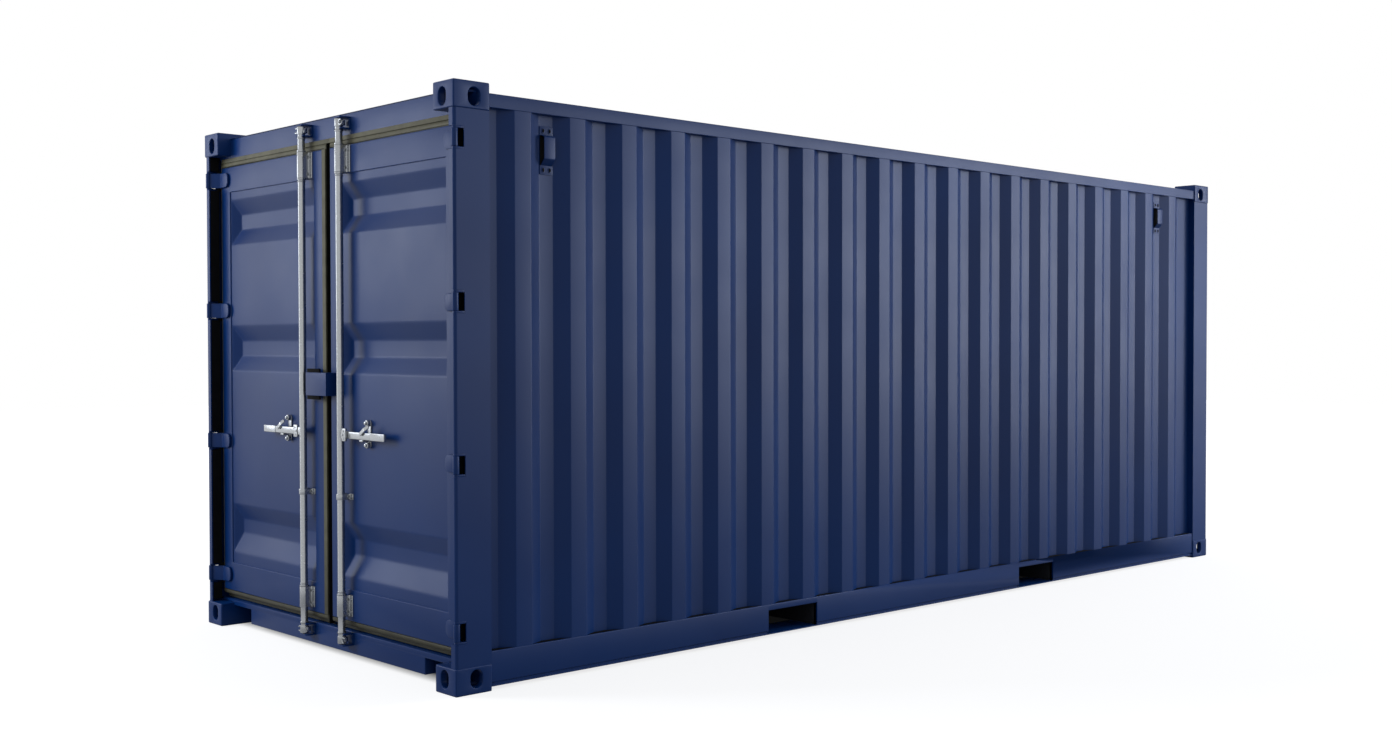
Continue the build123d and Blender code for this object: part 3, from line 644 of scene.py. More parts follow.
sealForm = {
    "outerLow": (28, 139), "outerHigh": (1171, 2447), "leftSeam": -8, "front": -2964,
    "section": (
        (0, 0, 34), (0, 0, 7), (0.1, 0.03, 6), (0.16, 0.06, 1.6),
        (0.3, 0.14, 0.3), (0.5, 0.26, 0), (0.7, 0.4, 1.6), (0.84, 0.5, 6),
        (0.9, 0.56, 14), (1, 0.6, 28), (1, 1, 30), (1, 1, 34)),
    "trim": (-42, -8, -2970, -2963), "trimRound": 2.5, "trimGap": (2, 1),
    "fin": (-7.7, -6, -2962.5, -2932), "finRound": 0.5, "finGap": 4,
    "lip": ((-2964.4, 2440), (-2961.1, 2440), (-2960.5, 2461.5), (-2963.6, 2461.5)),
    "lipRadii": (1.5, 0.5, 0.8, 1.8), "lipEnds": {"right": (17, 1160), "left": (-16, 1160)}}


def doorSeal(form, leaf, seam):
    # Lipped rubber strip: each point of its section is a share of the way from the leaf's
    # edge to the frame, the same for the foot of the leaf, and a depth behind the front.
    low, high = np.array((leaf["seam"], leaf["low"])), np.array((leaf["edge"], leaf["high"]))
    farLow, farHigh = np.array((seam, form["outerLow"][1])), np.array(form["outerHigh"])
    return frameRing([
        (low + (share, foot) * (farLow - low), high + share * (farHigh - high), 0,
         form["front"] + depth) for share, foot, depth in form["section"]])


def sealTrim(form, leaf):
    # the left seal's flat strip beside the seam
    above, below = form["trimGap"]
    outline = rectangle(*form["trim"])
    return softPlate(outline, form["trimRound"], leaf["low"] + above, leaf["high"] - below)


def seamShadeFin(form):
    # a near-black fin beside the left seal, painted shade that shows as the dark gap at the seam
    low, high = form["outerLow"][1] + form["finGap"], form["outerHigh"][1] - form["finGap"]
    return softPlate(rectangle(*form["fin"]), form["finRound"], low, high, form["finRound"])


for side, sign in sides:
    addPiece(f"doorTubes_{side}", [placed(leafTubes(leafForm), flip=sign)], f"door_{side}",
             sheetPaint, [f"leaf_frame_{side}"])
    seam = sealForm["outerLow"][0] if sign > 0 else -sealForm["leftSeam"]
    # the upper lip lies on the front of the header
    lip = plateAlongX(sealForm["lip"], sealForm["lipRadii"], *sealForm["lipEnds"][side])
    seal = [placed(s, flip=sign) for s in (doorSeal(sealForm, leafForm, seam), lip)]
    if side == "left":
        seal.append(sealTrim(sealForm, leafForm))
    addPiece(f"doorSeal_{side}", seal, f"door_{side}", rubber,
             [f"leaf_seal_{side}"], crease=50)
addPiece("seamShadeFin", [seamShadeFin(sealForm)], "door_left", paintedShadeBlack)
print("door leaves and seals made")

# Lock gear. Each shell is laid out on the right-hand door and mirrored for the left.

rodForm = {
    "x": 186, "y": -3000, "radius": 17, "hub": 19.5, "low": 82, "high": 2533,
    "hubHigh": 36, "soft": 1.5, "ring": 21, "narrowRing": 19.5,
    "collars": ((308.5, 316.5), (2277.5, 2285.5), (2412.5, 2420.5)),
    "rings": ((130, 137), (322, 326), (2268, 2272), (2474, 2481))}
camForm = {
    "horns": ((-24, 0), (-24, 14), (-13, 26), (13, 26), (24, 14), (24, 0)),
    "hornRadii": (4, 7, 6, 6, 7, 4), "hornInset": 6, "hornEdge": 2.5, "hookAt": (30, 0),
    "hookRadius": 12, "hookThick": 4, "hookFrom": 55, "hookTo": 325, "hookOut": 8,
    "claw": ((-10, -14), (-19, -8), (-27, 12), (-21, 15), (-9, 2)), "clawRadius": 3,
    "clawHalf": 4, "clawEdge": 1.5}
hubForm = {
    "level": 1063, "high": 60, "round": 4, "edge": 2, "step": 36, "reach": 71,
    "half": 15.5, "slot": 5.3, "neck": 36, "neckHalf": 11, "neckLap": (6, 12),
    "neckRound": 2, "rivet": 5, "rivetHigh": 3, "rivetRise": 17, "rivetAt": 54,
    "pinRadius": 6, "pinOut": 2.5, "pivot": 45}


def link(start, end, wide, low, high, edge=1):
    # a flat bar with round ends between two points of the door's plane
    start, end = np.array(start, float), np.array(end, float)
    along = (end - start) / np.linalg.norm(end - start)
    side = np.array((-along[1], along[0])) * wide / 2
    reach = along * wide / 2
    corners = [start - reach - side, end + reach - side, end + reach + side, start - reach + side]
    return plateAlongY(corners, wide / 2, low, high, edge)


def bentRod(path, normal, radius, around=10):
    # a round rod along a flat curve: rings square to the curve, whose plane has the normal
    path, normal = np.asarray(path, float), np.asarray(normal, float)
    along = np.gradient(path, axis=0)
    along /= np.linalg.norm(along, axis=1, keepdims=True)
    side = np.cross(normal, along)
    angle = np.linspace(0, 2 * math.pi, around, endpoint=False)[None, :, None]
    return loft(path[:, None] + radius * (np.cos(angle) * side[:, None] + np.sin(angle) * normal))


def flatStrap(path, half, thick):
    # a flat strap along a bent line, its ends drawn in to a half round, its face towards -Y
    path = np.asarray(path, float)
    lengths = np.concatenate([[0], np.cumsum(np.linalg.norm(np.diff(path, axis=0), axis=1))])
    station = np.linspace(0, lengths[-1], 17)
    line = np.column_stack([np.interp(station, lengths, path[:, i]) for i in range(3)])
    along = np.gradient(line, axis=0)
    side = np.cross(along, (0, 1, 0))
    side /= np.linalg.norm(side, axis=1, keepdims=True)
    fromEnd = np.minimum(station, lengths[-1] - station)
    wide = np.sqrt(np.clip(1 - np.clip(1 - fromEnd / half, 0, 1) ** 2, 0.04, 1)) * half
    section = np.array([
        (-1, 0.4), (-0.8, 1), (0.8, 1), (1, 0.4), (1, -0.4), (0.8, -1), (-0.8, -1), (-1, -0.4)])
    across = side[:, None] * wide[:, None, None] * section[None, :, :1]
    return loft(line[:, None] + across + np.array((0, thick, 0)) * section[None, :, 1:])


def roundHead(radius, high):
    # a rivet or bolt head: a low dome that stands out towards -Y when placed as "xzy"
    turn = np.linspace(0, math.pi / 2, 5)
    dome = np.column_stack([radius * np.cos(turn), -high * np.sin(turn)])
    return turnedShape(np.vstack([[0, 1], [radius, 1], dome]), 16)


def hexHead(across, high):
    angle = np.linspace(0, 2 * math.pi, 6, endpoint=False) + math.pi / 6
    corners = np.column_stack([np.cos(angle), np.sin(angle)]) * across / math.sqrt(3)
    washer = turnedBar([(across * 0.62, -1.8), (across * 0.62, 0.5)], 0.5, 18)
    return joined([softPlate(corners, 0.8, -high, -1, 1, 2, 2), washer])


def camShells(form, x, y, middle, half, upright):
    # horned plate, its hook and the claw beside it, at one end of the rod
    horns = [(x + a, y + b) for a, b in form["horns"]]
    reach = half - form["hornInset"]
    turn = np.radians(np.linspace(form["hookFrom"], form["hookTo"], 22))
    across, rise = form["hookAt"]
    hook = rowsOf(
        x + across + form["hookRadius"] * np.cos(turn), y - form["hookOut"],
        middle + upright * (rise + form["hookRadius"] * np.sin(turn)))
    claw = [(x + a, middle + upright * b) for a, b in form["claw"]][::upright]
    return [
        softPlate(horns, form["hornRadii"], middle - reach, middle + reach, form["hornEdge"]),
        bentRod(hook, (0, 1, 0), form["hookThick"]),
        plateAlongY(claw, form["clawRadius"], y - form["clawHalf"], y + form["clawHalf"],
                    form["clawEdge"])]


def hubShells(form, x, y, rodRadius):
    # A front cheek on the fork of a lower neck, which is welded to the rod and holds the
    # handle on a pin between its two plates.
    level, front, back = form["level"], y - form["half"], y + form["half"]
    rise, neckRise, (lapIn, lapOut) = form["high"] / 2, form["neck"] / 2, form["neckLap"]
    cheek = rectangle(x + form["step"], x + form["reach"], level - rise, level + rise)
    neck = rectangle(
        x + rodRadius - lapIn, x + form["reach"] - lapOut, level - neckRise, level + neckRise)
    shells = [plateAlongY(cheek, form["round"], front, y - form["slot"], form["edge"])]
    for near, far in ((-form["neckHalf"], -form["slot"]), (form["slot"], form["neckHalf"])):
        shells.append(plateAlongY(neck, form["neckRound"], y + near, y + far))
    for up in (-form["rivetRise"], form["rivetRise"]):
        at = (x + form["rivetAt"], front, level + up)
        shells.append(placed(roundHead(form["rivet"], form["rivetHigh"]), "xzy", at))
    r = form["pinRadius"]
    pin = turnedBar([(r, front - form["pinOut"]), (r, back)], 1, 20)
    return shells + [placed(pin, "xzy", (x + form["pivot"], 0, level))]


def lockRodShells(form, cam, hub):
    # a turned rod, thicker at its ends and rings, with a cam at each end and the hub
    x, y, r, end = form["x"], form["y"], form["radius"], form["hub"]
    low, high, endHigh = form["low"], form["high"], form["hubHigh"]
    steps = [(end, low), (end, low + endHigh)]
    for start, stop in sorted(form["collars"] + form["rings"]):
        wide = form["ring"] if (start, stop) in form["collars"] else form["narrowRing"]
        steps += [(r, steps[-1][1]), (r, start), (wide, start), (wide, stop)]
    steps += [(r, steps[-1][1]), (r, high - endHigh), (end, high - endHigh), (end, high)]
    shells = [placed(turnedBar(steps, form["soft"]), at=(x, y, 0))]
    for middle, upright in ((low + endHigh / 2, -1), (high - endHigh / 2, 1)):
        shells += camShells(cam, x, y, middle, endHigh / 2, upright)
    return shells + hubShells(hub, x, y, r)


handleForm = {
    "x": 231, "long": 363, "level": 1062, "half": 16.5, "near": -3005, "far": -2995,
    "radii": (16.4, 3, 3, 16.4), "edge": 1.8, "grip": 122, "gripLap": 8, "gripHalf": 17.5,
    "gripNear": -3007, "gripFar": -2993, "gripRound": 4, "gripEdge": 2.5,
    # the catch leans from beside the upper bolt down over the bar; it differs by side
    "catch": {
        "right": ((450, -3000, 1111), (424, -3010.5, 1094),
                  (394, -3012, 1074), (384, -3011, 1067)),
        "left": ((384, -3000, 1109), (404, -3010.5, 1092),
                 (426, -3012, 1073), (434, -3011, 1065))},
    "catchHalf": 9, "catchThick": 3}


def handleShells(form, side):
    level, half, gripHalf = form["level"], form["half"], form["gripHalf"]
    end = form["x"] + form["long"]
    start = end - form["grip"]
    bar = rectangle(form["x"] - half, start + form["gripLap"], level - half, level + half)
    grip = rectangle(start, end, level - gripHalf, level + gripHalf)
    return [
        plateAlongY(bar, form["radii"], form["near"], form["far"], form["edge"]),
        plateAlongY(grip, form["gripRound"], form["gripNear"], form["gripFar"], form["gripEdge"]),
        flatStrap(form["catch"][side], form["catchHalf"], form["catchThick"])]


bearingForm = {
    "x": 186, "y": -3000, "inner": 17.3, "shell": 4, "flange": 27, "plate": 5,
    # foot, top, and how far the seat lies behind the rod
    "spans": ((2286, 2412, 33), (208, 308, 33), (756, 784, 39)),
    "twoBoltsOver": 60, "boltInset": 20, "boltShift": 1, "bolt": 13, "boltHigh": 6,
    "edge": 1.4}


def bearingShells(form):
    # Hat-shaped shell over the rod, bolted through its two flanges
    inner, outer = form["inner"], form["inner"] + form["shell"]
    wing, (x, y) = outer + form["flange"], (form["x"], form["y"])
    boltOut = outer + form["flange"] / 2 + form["boltShift"]
    shells = []
    for low, high, seat in form["spans"]:
        plate = seat - form["plate"]
        outline = [
            (-wing, seat), (-wing, plate), (-outer, plate), (-outer, -outer), (outer, -outer),
            (outer, plate), (wing, plate), (wing, seat), (inner, seat), (inner, -inner),
            (-inner, -inner), (-inner, seat)]
        # a radius just under half the width makes the bend over the rod a half round
        bend, hollow = outer - 0.1, inner - 0.1
        radii = [1, 2, 3, bend, bend, 3, 2, 1, 1, hollow, hollow, 1]
        shells.append(placed(softPlate(outline, radii, low, high, form["edge"], 8), at=(x, y, 0)))
        rises = [(low + high) / 2]
        if high - low > form["twoBoltsOver"]:
            rises = [low + form["boltInset"], high - form["boltInset"]]
        for across in (x - boltOut, x + boltOut):
            for z in rises:
                bolt = hexHead(form["bolt"], form["boltHigh"])
                shells.append(placed(bolt, "xzy", (across, y + plate, z)))
    return shells


retainerForm = {
    "x": 392, "level": 1070, "lobe": 15, "rise": 51, "seat": -2961, "plate": 6,
    "boss": 22, "bossRound": 3, "ledge": (-34, -24.8), "ledgeFront": -3010,
    "ledgeRound": 2, "bolt": 15, "boltHigh": 7}


def retainerShells(form):
    # an upright bar with a boss and a bolt at each end, and the ledge under the handle
    x, z, seat = form["x"], form["level"], form["seat"]
    wide, front = form["lobe"], seat - form["boss"]
    ends = [(x, z - form["rise"]), (x, z + form["rise"])]
    shells = [link(*ends, 2 * wide, seat - form["plate"], seat)]
    for level in (z - form["rise"], z + form["rise"]):
        # the boss is a little narrower than the bar and starts inside it
        boss = turnedBar([(wide - 0.5, front), (wide - 0.5, seat - 2)], form["bossRound"], 28)
        shells.append(placed(boss, "xzy", (x, 0, level)))
        bolt = hexHead(form["bolt"], form["boltHigh"])
        shells.append(placed(bolt, "xzy", (x, front, level)))
    low, high = form["ledge"]
    ledge, r = rectangle(x - wide, x + wide, z + low, z + high), form["ledgeRound"]
    return shells + [plateAlongY(ledge, r, form["ledgeFront"], seat - 1, r)]


keeperForm = {
    "x": 186, "half": 35, "front": -3010, "face": -2960, "base": 4, "baseRound": 3,
    "jaw": 7, "jawEdge": 1.5, "gap": 22.5, "rodY": -3000, "closedRadii": (16, 16, 1, 1),
    # foot, top, and whether the slotted jaw is the lower one
    "spans": ((2485, 2545, True), (70, 130, False))}


def keeperShells(form):
    # Base plate on the frame with one closed jaw and one that is slotted for the rod
    front, face, g, y = form["front"], form["face"], form["gap"], form["rodY"]
    x0, x1 = form["x"] - form["half"], form["x"] + form["half"]
    g0, g1, bottom = form["x"] - g, form["x"] + g, y + g
    closed = (rectangle(x0, x1, front, face), form["closedRadii"])
    # a radius just under half the gap makes the slot's end a half round
    slotted = (
        [(x0, front), (g0, front), (g0, bottom), (g1, bottom), (g1, front), (x1, front),
         (x1, face), (x0, face)], (5, 5, g - 0.1, g - 0.1, 5, 5, 1, 1))
    shells = []
    for low, high, slotLow in form["spans"]:
        base = rectangle(x0, x1, low, high)
        shells.append(plateAlongY(base, form["baseRound"], face - form["base"], face))
        jaws = (slotted, closed) if slotLow else (closed, slotted)
        for z, (outline, radii) in zip((low, high - form["jaw"]), jaws):
            shells.append(softPlate(outline, radii, z, z + form["jaw"], form["jawEdge"]))
    return shells


hingeForm = {
    "pin": (1205, -3015), "levels": (2349, 1662, 975, 268), "half": 38.5,
    "knuckle": 13.5, "tail": 1058, "tailRound": 30, "leaf": -2967, "thick": 12,
    # how far the arm's sides stand from the pin, and its corners beside the leaf
    "armSide": (3.4, 4.9), "armEdge": 1.5, "armRadii": (1, 12, 0.5, 0.5, 6, 1),
    "arm": ((1143.1, -2979), (1134, -2979), (1134, -2967), (1146.8, -2967)),
    "knee": 1145, "windowHalf": 49, "lug": 10, "lugRound": 9.5, "lugRadii": (0.5, 11, 9.5, 0.5),
    "lugEdge": 1.2, "lugBack": -2975, "pinRadius": 7}


def bladeShells(form):
    # Forged strap: a flat with a round tail on the stile, an arm up to the pin and a knuckle.
    # The flat stands a little off the leaf and the arm, so that no two faces coincide.
    (px, py), (sideX, sideY) = form["pin"], form["armSide"]
    leaf, knuckleRadius = form["leaf"], form["knuckle"]
    arm = [(px - sideX, py - sideY), *form["arm"], (px + sideX, py + sideY)]
    radii = (form["tailRound"], 0.5, 0.5, form["tailRound"])
    shells = []
    for z in form["levels"]:
        low, high = z - form["half"], z + form["half"]
        flat = rectangle(form["tail"], form["knee"], low + 0.3, high - 0.3)
        knuckle = turnedBar([(knuckleRadius, low), (knuckleRadius, high)], 2, 28)
        shells += [
            plateAlongY(flat, radii, leaf - form["thick"] - 0.4, leaf - 0.3, 3, 8),
            softPlate(arm, form["armRadii"], low, high, form["armEdge"]),
            placed(knuckle, at=(px, py, 0))]
    return shells


def lugShells(form):
    # Two ears and the pin at each hinge
    (px, py), r, pinRadius = form["pin"], form["lugRound"], form["pinRadius"]
    inner, back = px - form["knuckle"], form["lugBack"]
    ear = [(inner, back), (inner, py - r), (px + r, py - r), (px + r, back)]
    shells = []
    for z in form["levels"]:
        low, high = z - form["windowHalf"], z + form["windowHalf"]
        for foot in (low, high - form["lug"]):
            top = foot + form["lug"]
            shells.append(softPlate(ear, form["lugRadii"], foot, top, form["lugEdge"]))
        pin = turnedBar([(pinRadius, low), (pinRadius, high)], 0.5, 18)
        shells.append(placed(pin, at=(px, py, 0)))
    return shells


boxForm = {
    "half": 92, "seam": 6.5, "low": 1239, "high": 1349, "front": -3024, "leaf": -2967,
    "wall": 5, "under": -3018.4, "coverReach": 110, "coverRound": 3, "coverEdge": 1.8,
    "bar": (-146, -22, 1219, 1367), "barDepth": (-2999, -2991), "barRound": 3,
    "barEdge": 1.5}


def lockBoxShells(form, cover):
    # Cover, roof and outer side. The right-hand leaf's cover spans the seam and the left
    # half lies under it. The walls stand a little inside the cover's outline.
    w, half, front = form["wall"], form["half"], form["front"] if cover else form["under"]
    low, high, inside, leaf = form["low"], form["high"], front + 2, form["leaf"]
    start = -form["coverReach"] if cover else form["seam"]
    face = rectangle(start, half, low, high)
    roof = rectangle(form["seam"], half - 0.5, high - w - 0.4, high - 0.4)
    side = rectangle(half - w, half - 0.3, low + 0.4, high - 0.8)
    return [
        plateAlongY(face, form["coverRound"], front, front + w, form["coverEdge"]),
        plateAlongY(roof, 1, inside, leaf), plateAlongY(side, 1, inside, leaf)]


for side, sign in sides:
    # piece, shells, body, CAD node, material and slot
    gear = (
        ("lockRod", lockRodShells(rodForm, camForm, hubForm), "lock_rod", "lock_rod", zinc, "zinc"),
        ("lockHandle", handleShells(handleForm, side), "handle", "handle", zinc, "zinc"),
        ("rodBearings", bearingShells(bearingForm), "door", "rod_bearings", zinc, "zinc"),
        ("handleRetainer", retainerShells(retainerForm), "door", "handle_retainer", zinc, "zinc"),
        ("hingeBlades", bladeShells(hingeForm), "door", "hinge_blades", castPaint, "blue_paint"),
        ("lockBox", lockBoxShells(boxForm, sign > 0), "door", "lock_box", sheetPaint, "blue_paint"))
    for name, shells, body, node, material, slotName in gear:
        addPiece(f"{name}_{side}", [placed(s, flip=sign) for s in shells], f"{body}_{side}",
                 material, [f"{node}_{side}"])
# the bar behind the box looks black in the photograph, so it has the shaded rubber's look
# its near-black colour is painted shade
lockShadeBar = plateAlongY(
    rectangle(*boxForm["bar"]), boxForm["barRound"], *boxForm["barDepth"], boxForm["barEdge"])
addPiece("lockShadeBar", [lockShadeBar], "door_left", paintedShadeBlack)
for name, shells, node in (("camKeepers", keeperShells(keeperForm), "cam_keepers"),
                           ("hingeLugs", lugShells(hingeForm), "hinge_lugs")):
    addPiece(name, bothSides(shells), "container", castPaint, [node])
print("lock gear and hinges made")

# Frame members

railForm = {
    "end": 2851, "top": (1151, 1211, 2490, 2550), "topRound": 3, "pocket": (865, 1215),
    "section": (
        (1163, 170), (1211, 170), (1211, 34), (1205, 34), (1205, 22), (1200.5, 22),
        (1200.5, 38.5), (1206.5, 38.5), (1206.5, 165.5), (1163, 165.5)),
    "sectionRound": (0, 3.8, 5, 2, 0, 0, 3, 3, 5, 0),
    "overPocket": (
        (1163, 170), (1211, 170), (1211, 140), (1206.5, 140), (1206.5, 165.5), (1163, 165.5)),
    "overRound": (0, 3.8, 1.5, 1.5, 5, 0), "bar": (1163, 1211, 17, 22), "barRound": 1.5,
    "jamb": (1186, 1207, 22, 142), "jambThick": 4.5, "jambRound": 1}


def topRailShells(form):
    return [plateAlongY(rectangle(*form["top"]), form["topRound"], -form["end"], form["end"], 0)]


def bottomRailShells(form):
    near, far = form["pocket"]
    end = form["end"]
    thick, jamb = form["jambThick"], rectangle(*form["jamb"])
    shells = [plateAlongY(rectangle(*form["bar"]), form["barRound"], -end, end, 0)]
    for start, stop in ((-end, -far), (-near, near), (far, end)):
        shells.append(plateAlongY(form["section"], form["sectionRound"], start, stop, 0))
    for start, stop in ((-far, -near), (near, far)):
        shells.append(plateAlongY(form["overPocket"], form["overRound"], start, stop, 0))
    for edge in (-far - thick, -near, near - thick, far):
        shells.append(plateAlongY(jamb, form["jambRound"], edge, edge + thick, 0.5))
    return shells


headerForm = {
    "half": 1057, "reach": 1209, "rearHalf": 1096, "front": -2960, "rebate": -2908, "back": -2851,
    "low": 2452, "high": 2564, "under": 2473, "rearLow": 2403,
    "lap": (2558, 2562.6, 6), "radii": (6, 2, 3, 3, 3, 1, 0.5, 0, 0, 0.8),
    "wingRadii": (6, 2, 0, 0)}
sillForm = {
    "half": 1057, "reach": 1209, "rearHalf": 1096, "front": -2960, "rebate": -2908, "back": -2851,
    "low": 30, "castTop": 118, "high": 134, "floor": 170, "notch": 857,
    "notchTop": 105, "edge": 4, "radii": (3, 3, 3, 0, 0, 0, 2, 2, 0, 0, 0, 3)}


def headerShells(form):
    # A folded section with a lap groove along its upper front edge, and a wing at each end
    # that runs under the casting.
    front, rebate, back = form["front"], form["rebate"], form["back"]
    low, rearLow, high, under = form["low"], form["rearLow"], form["high"], form["under"]
    lapLow, lapHigh, lapDeep = form["lap"]
    half, groove = form["half"], front + lapDeep
    section = [
        (front, low), (rebate, low), (rebate, rearLow), (back, rearLow), (back, high),
        (front, high), (front, lapHigh), (groove, lapHigh), (groove, lapLow), (front, lapLow)]
    wing = rectangle(front, rebate, low, under)
    rearWing = rectangle(rebate, back, rearLow, under)
    shells = [plateAlongX(section, form["radii"], -half, half, 0)]
    for sign in (-1, 1):
        reach, rear = (sorted((sign * half, sign * form[key])) for key in ("reach", "rearHalf"))
        shells.append(plateAlongX(wing, form["wingRadii"], *reach, 0))
        shells.append(plateAlongX(rearWing, 0, *rear, 0))
    return shells


def sillShells(form):
    # A front plate that steps up over each notch and casting, and the same outline behind
    # it, which stands as high as the floor.
    half, reach, notch = form["half"], form["reach"], form["notch"]
    low, top, step, high = form["low"], form["notchTop"], form["castTop"], form["high"]
    outline = [
        (-notch, low), (notch, low), (notch, top), (half, top), (half, step), (reach, step),
        (reach, high), (-reach, high), (-reach, step), (-half, step), (-half, top), (-notch, top)]
    rear = [(x, form["floor"] if z == high else z) for x, z in outline]
    rear = [(math.copysign(form["rearHalf"], x) if abs(x) == reach else x, z) for x, z in rear]
    return [
        plateAlongY(outline, form["radii"], form["front"], form["rebate"], form["edge"]),
        plateAlongY(rear, 0, form["rebate"] - 0.5, form["back"], 0)]


members = (
    ("topRails", bothSides(topRailShells(railForm)), "top_side_rails"),
    ("bottomRails", bothSides(bottomRailShells(railForm)), "bottom_side_rails"),
    ("doorHeader", headerShells(headerForm), "door_header"),
    ("doorSill", sillShells(sillForm), "door_sill"))
for name, shells, node in members:
    addPiece(name, shells, "container", sheetPaint, [node])

ventForm = {
    "places": (-2533.5, 2430.5), "face": 1173, "plate": 3, "wide": 70,
    "tabs": ((2230, 2272), (2402, 2444)), "tabRound": 5,
    "hood": ((1175.5, 2405), (1204, 2397), (1204, 2297), (1175.5, 2271), (1175.5, 2275),
             (1201, 2299), (1201, 2395), (1175.5, 2402)),
    "hoodRadii": (0, 9, 12, 0, 0, 9, 6, 0), "hoodWide": 58, "hoodEdge": 0.8,
    "back": (2266, 2408), "backWide": 66, "backThick": 2.4, "backRound": 4,
    # width, height, where it starts and ends over the tab, and its edge
    "washer": (17, 25, -0.5, 2, 0.8), "bolt": (10, 17, 0, 4.5, 2), "boltAt": 17}


def ventOvals(form, y, oval):
    # an oval washer or fastener at each side of both tabs
    wide, high, start, stop, edge = oval
    face, shells = form["face"] + form["plate"], []
    for low, top in form["tabs"]:
        z = (low + top) / 2
        for across in (y - form["boltAt"], y + form["boltAt"]):
            outline = rectangle(across - wide / 2, across + wide / 2, z - high / 2, z + high / 2)
            shells.append(plateAlongX(outline, wide / 2 - 0.1, face + start, face + stop, edge))
    return shells


def ventShells(form, y):
    # a bent hood between two tabs
    wide, half = form["wide"] / 2, form["hoodWide"] / 2
    face, tabFace = form["face"], form["face"] + form["plate"]
    shells = [plateAlongY(form["hood"], form["hoodRadii"], y - half, y + half, form["hoodEdge"])]
    for low, high in form["tabs"]:
        tab = rectangle(y - wide, y + wide, low, high)
        shells.append(plateAlongX(tab, form["tabRound"], face, tabFace))
    return shells + ventOvals(form, y, form["washer"])


def ventShadeShells(form, y):
    # the near-black mesh behind the hood, painted shade in its open sides, and the oval fasteners,
    # which are near black too
    wide, face = form["backWide"] / 2, form["face"]
    back = rectangle(y - wide, y + wide, *form["back"])
    mesh = plateAlongX(back, form["backRound"], face, face + form["backThick"], 0.5)
    return [mesh] + ventOvals(form, y, form["bolt"])


for name, build, material, slotName, replaced in (
        ("ventilatorHoods", ventShells, sheetPaint, "blue_paint", ["ventilators"]),
        ("ventilatorShadeMesh", ventShadeShells, paintedShadeBlack, "seal_rubber", [])):
    shells = [shell for y in ventForm["places"] for shell in build(ventForm, y)]
    addPiece(name, bothSides(shells), "container", material, replaced)

stripForm = {
    "x": (1174.4, 1176), "y": (-3018, -2972), "low": 130, "high": 2470,
    "backX": (1171.8, 1173.4), "backY": (-2982.5, -2940), "windowGap": 2, "overlap": 4,
    "round": 0.5}


def gapShadeStrips(form, hinge):
    # Near-black strip on the inside of each door post's lip, between the hinge windows, and a piece
    # of it further back behind each window: painted shade for the dark channel beside the door.
    window, r = hinge["windowHalf"], form["round"]
    cut, back = window + form["windowGap"], window + form["overlap"]
    ends = [form["low"], *sorted(z + s * cut for z in hinge["levels"] for s in (-1, 1)),
            form["high"]]
    strip, backing = rectangle(*form["x"], *form["y"]), rectangle(*form["backX"], *form["backY"])
    shells = [softPlate(strip, r, low, high, r) for low, high in zip(ends[::2], ends[1::2])]
    return shells + [softPlate(backing, r, z - back, z + back, r) for z in hinge["levels"]]


addPiece("postGapShadeStrips", bothSides(gapShadeStrips(stripForm, hingeForm)), "container",
         paintedShadeBlack)

flangeShadeForm = {"x": (1170, 1207.2), "low": 169.5, "high": 170.7, "endGap": 1, "round": 0.4}


def flangeShadeStrip(form, wall):
    # a near-black strip along the rail's top flange, out to its rounded edge: painted shade in
    # the hollows at the foot of the wall
    end = wall["span"] / 2 - form["endGap"]
    outline = rectangle(*form["x"], -end, end)
    return [softPlate(outline, form["round"], form["low"], form["high"], form["round"])]


addPiece("wallFootShadeStrip", bothSides(flangeShadeStrip(flangeShadeForm, wallForm)), "container",
         paintedShadeBlack)
print("frame members made")

# Stage: pale floor, studio light and the camera of the photograph

stageLook = {
    "glow": 0.78, "mirrored": 0.3, "diffuse": 0.36, "near": 3.5, "far": 11, "mirrorNear": 5.5,
    "mirrorFar": 13, "size": 60, "under": (1.12, 2.95), "paintedShadowSoft": 0.12,
    "paintedShadowShare": 0.006}
airLook = {"ambient": 0.52, "tint": "#f4f8ff"}
flagLook = {
    "x": (-3, 4.2), "y": 11, "high": 6, "colour": (0.004, 0.004, 0.005, 1)}
cameraLook = {
    "place": (6.699, -6.425, 1.478), "tilt": -1.164, "turn": 44.891, "sensor": 36,
    "lens": 38.879, "shift": -0.0822, "far": 200}


def stageCard(name, corners):
    mesh = bpy.data.meshes.new(name)
    mesh.from_pydata(corners, [], [(0, 1, 2, 3)])
    return newObject(name, mesh)


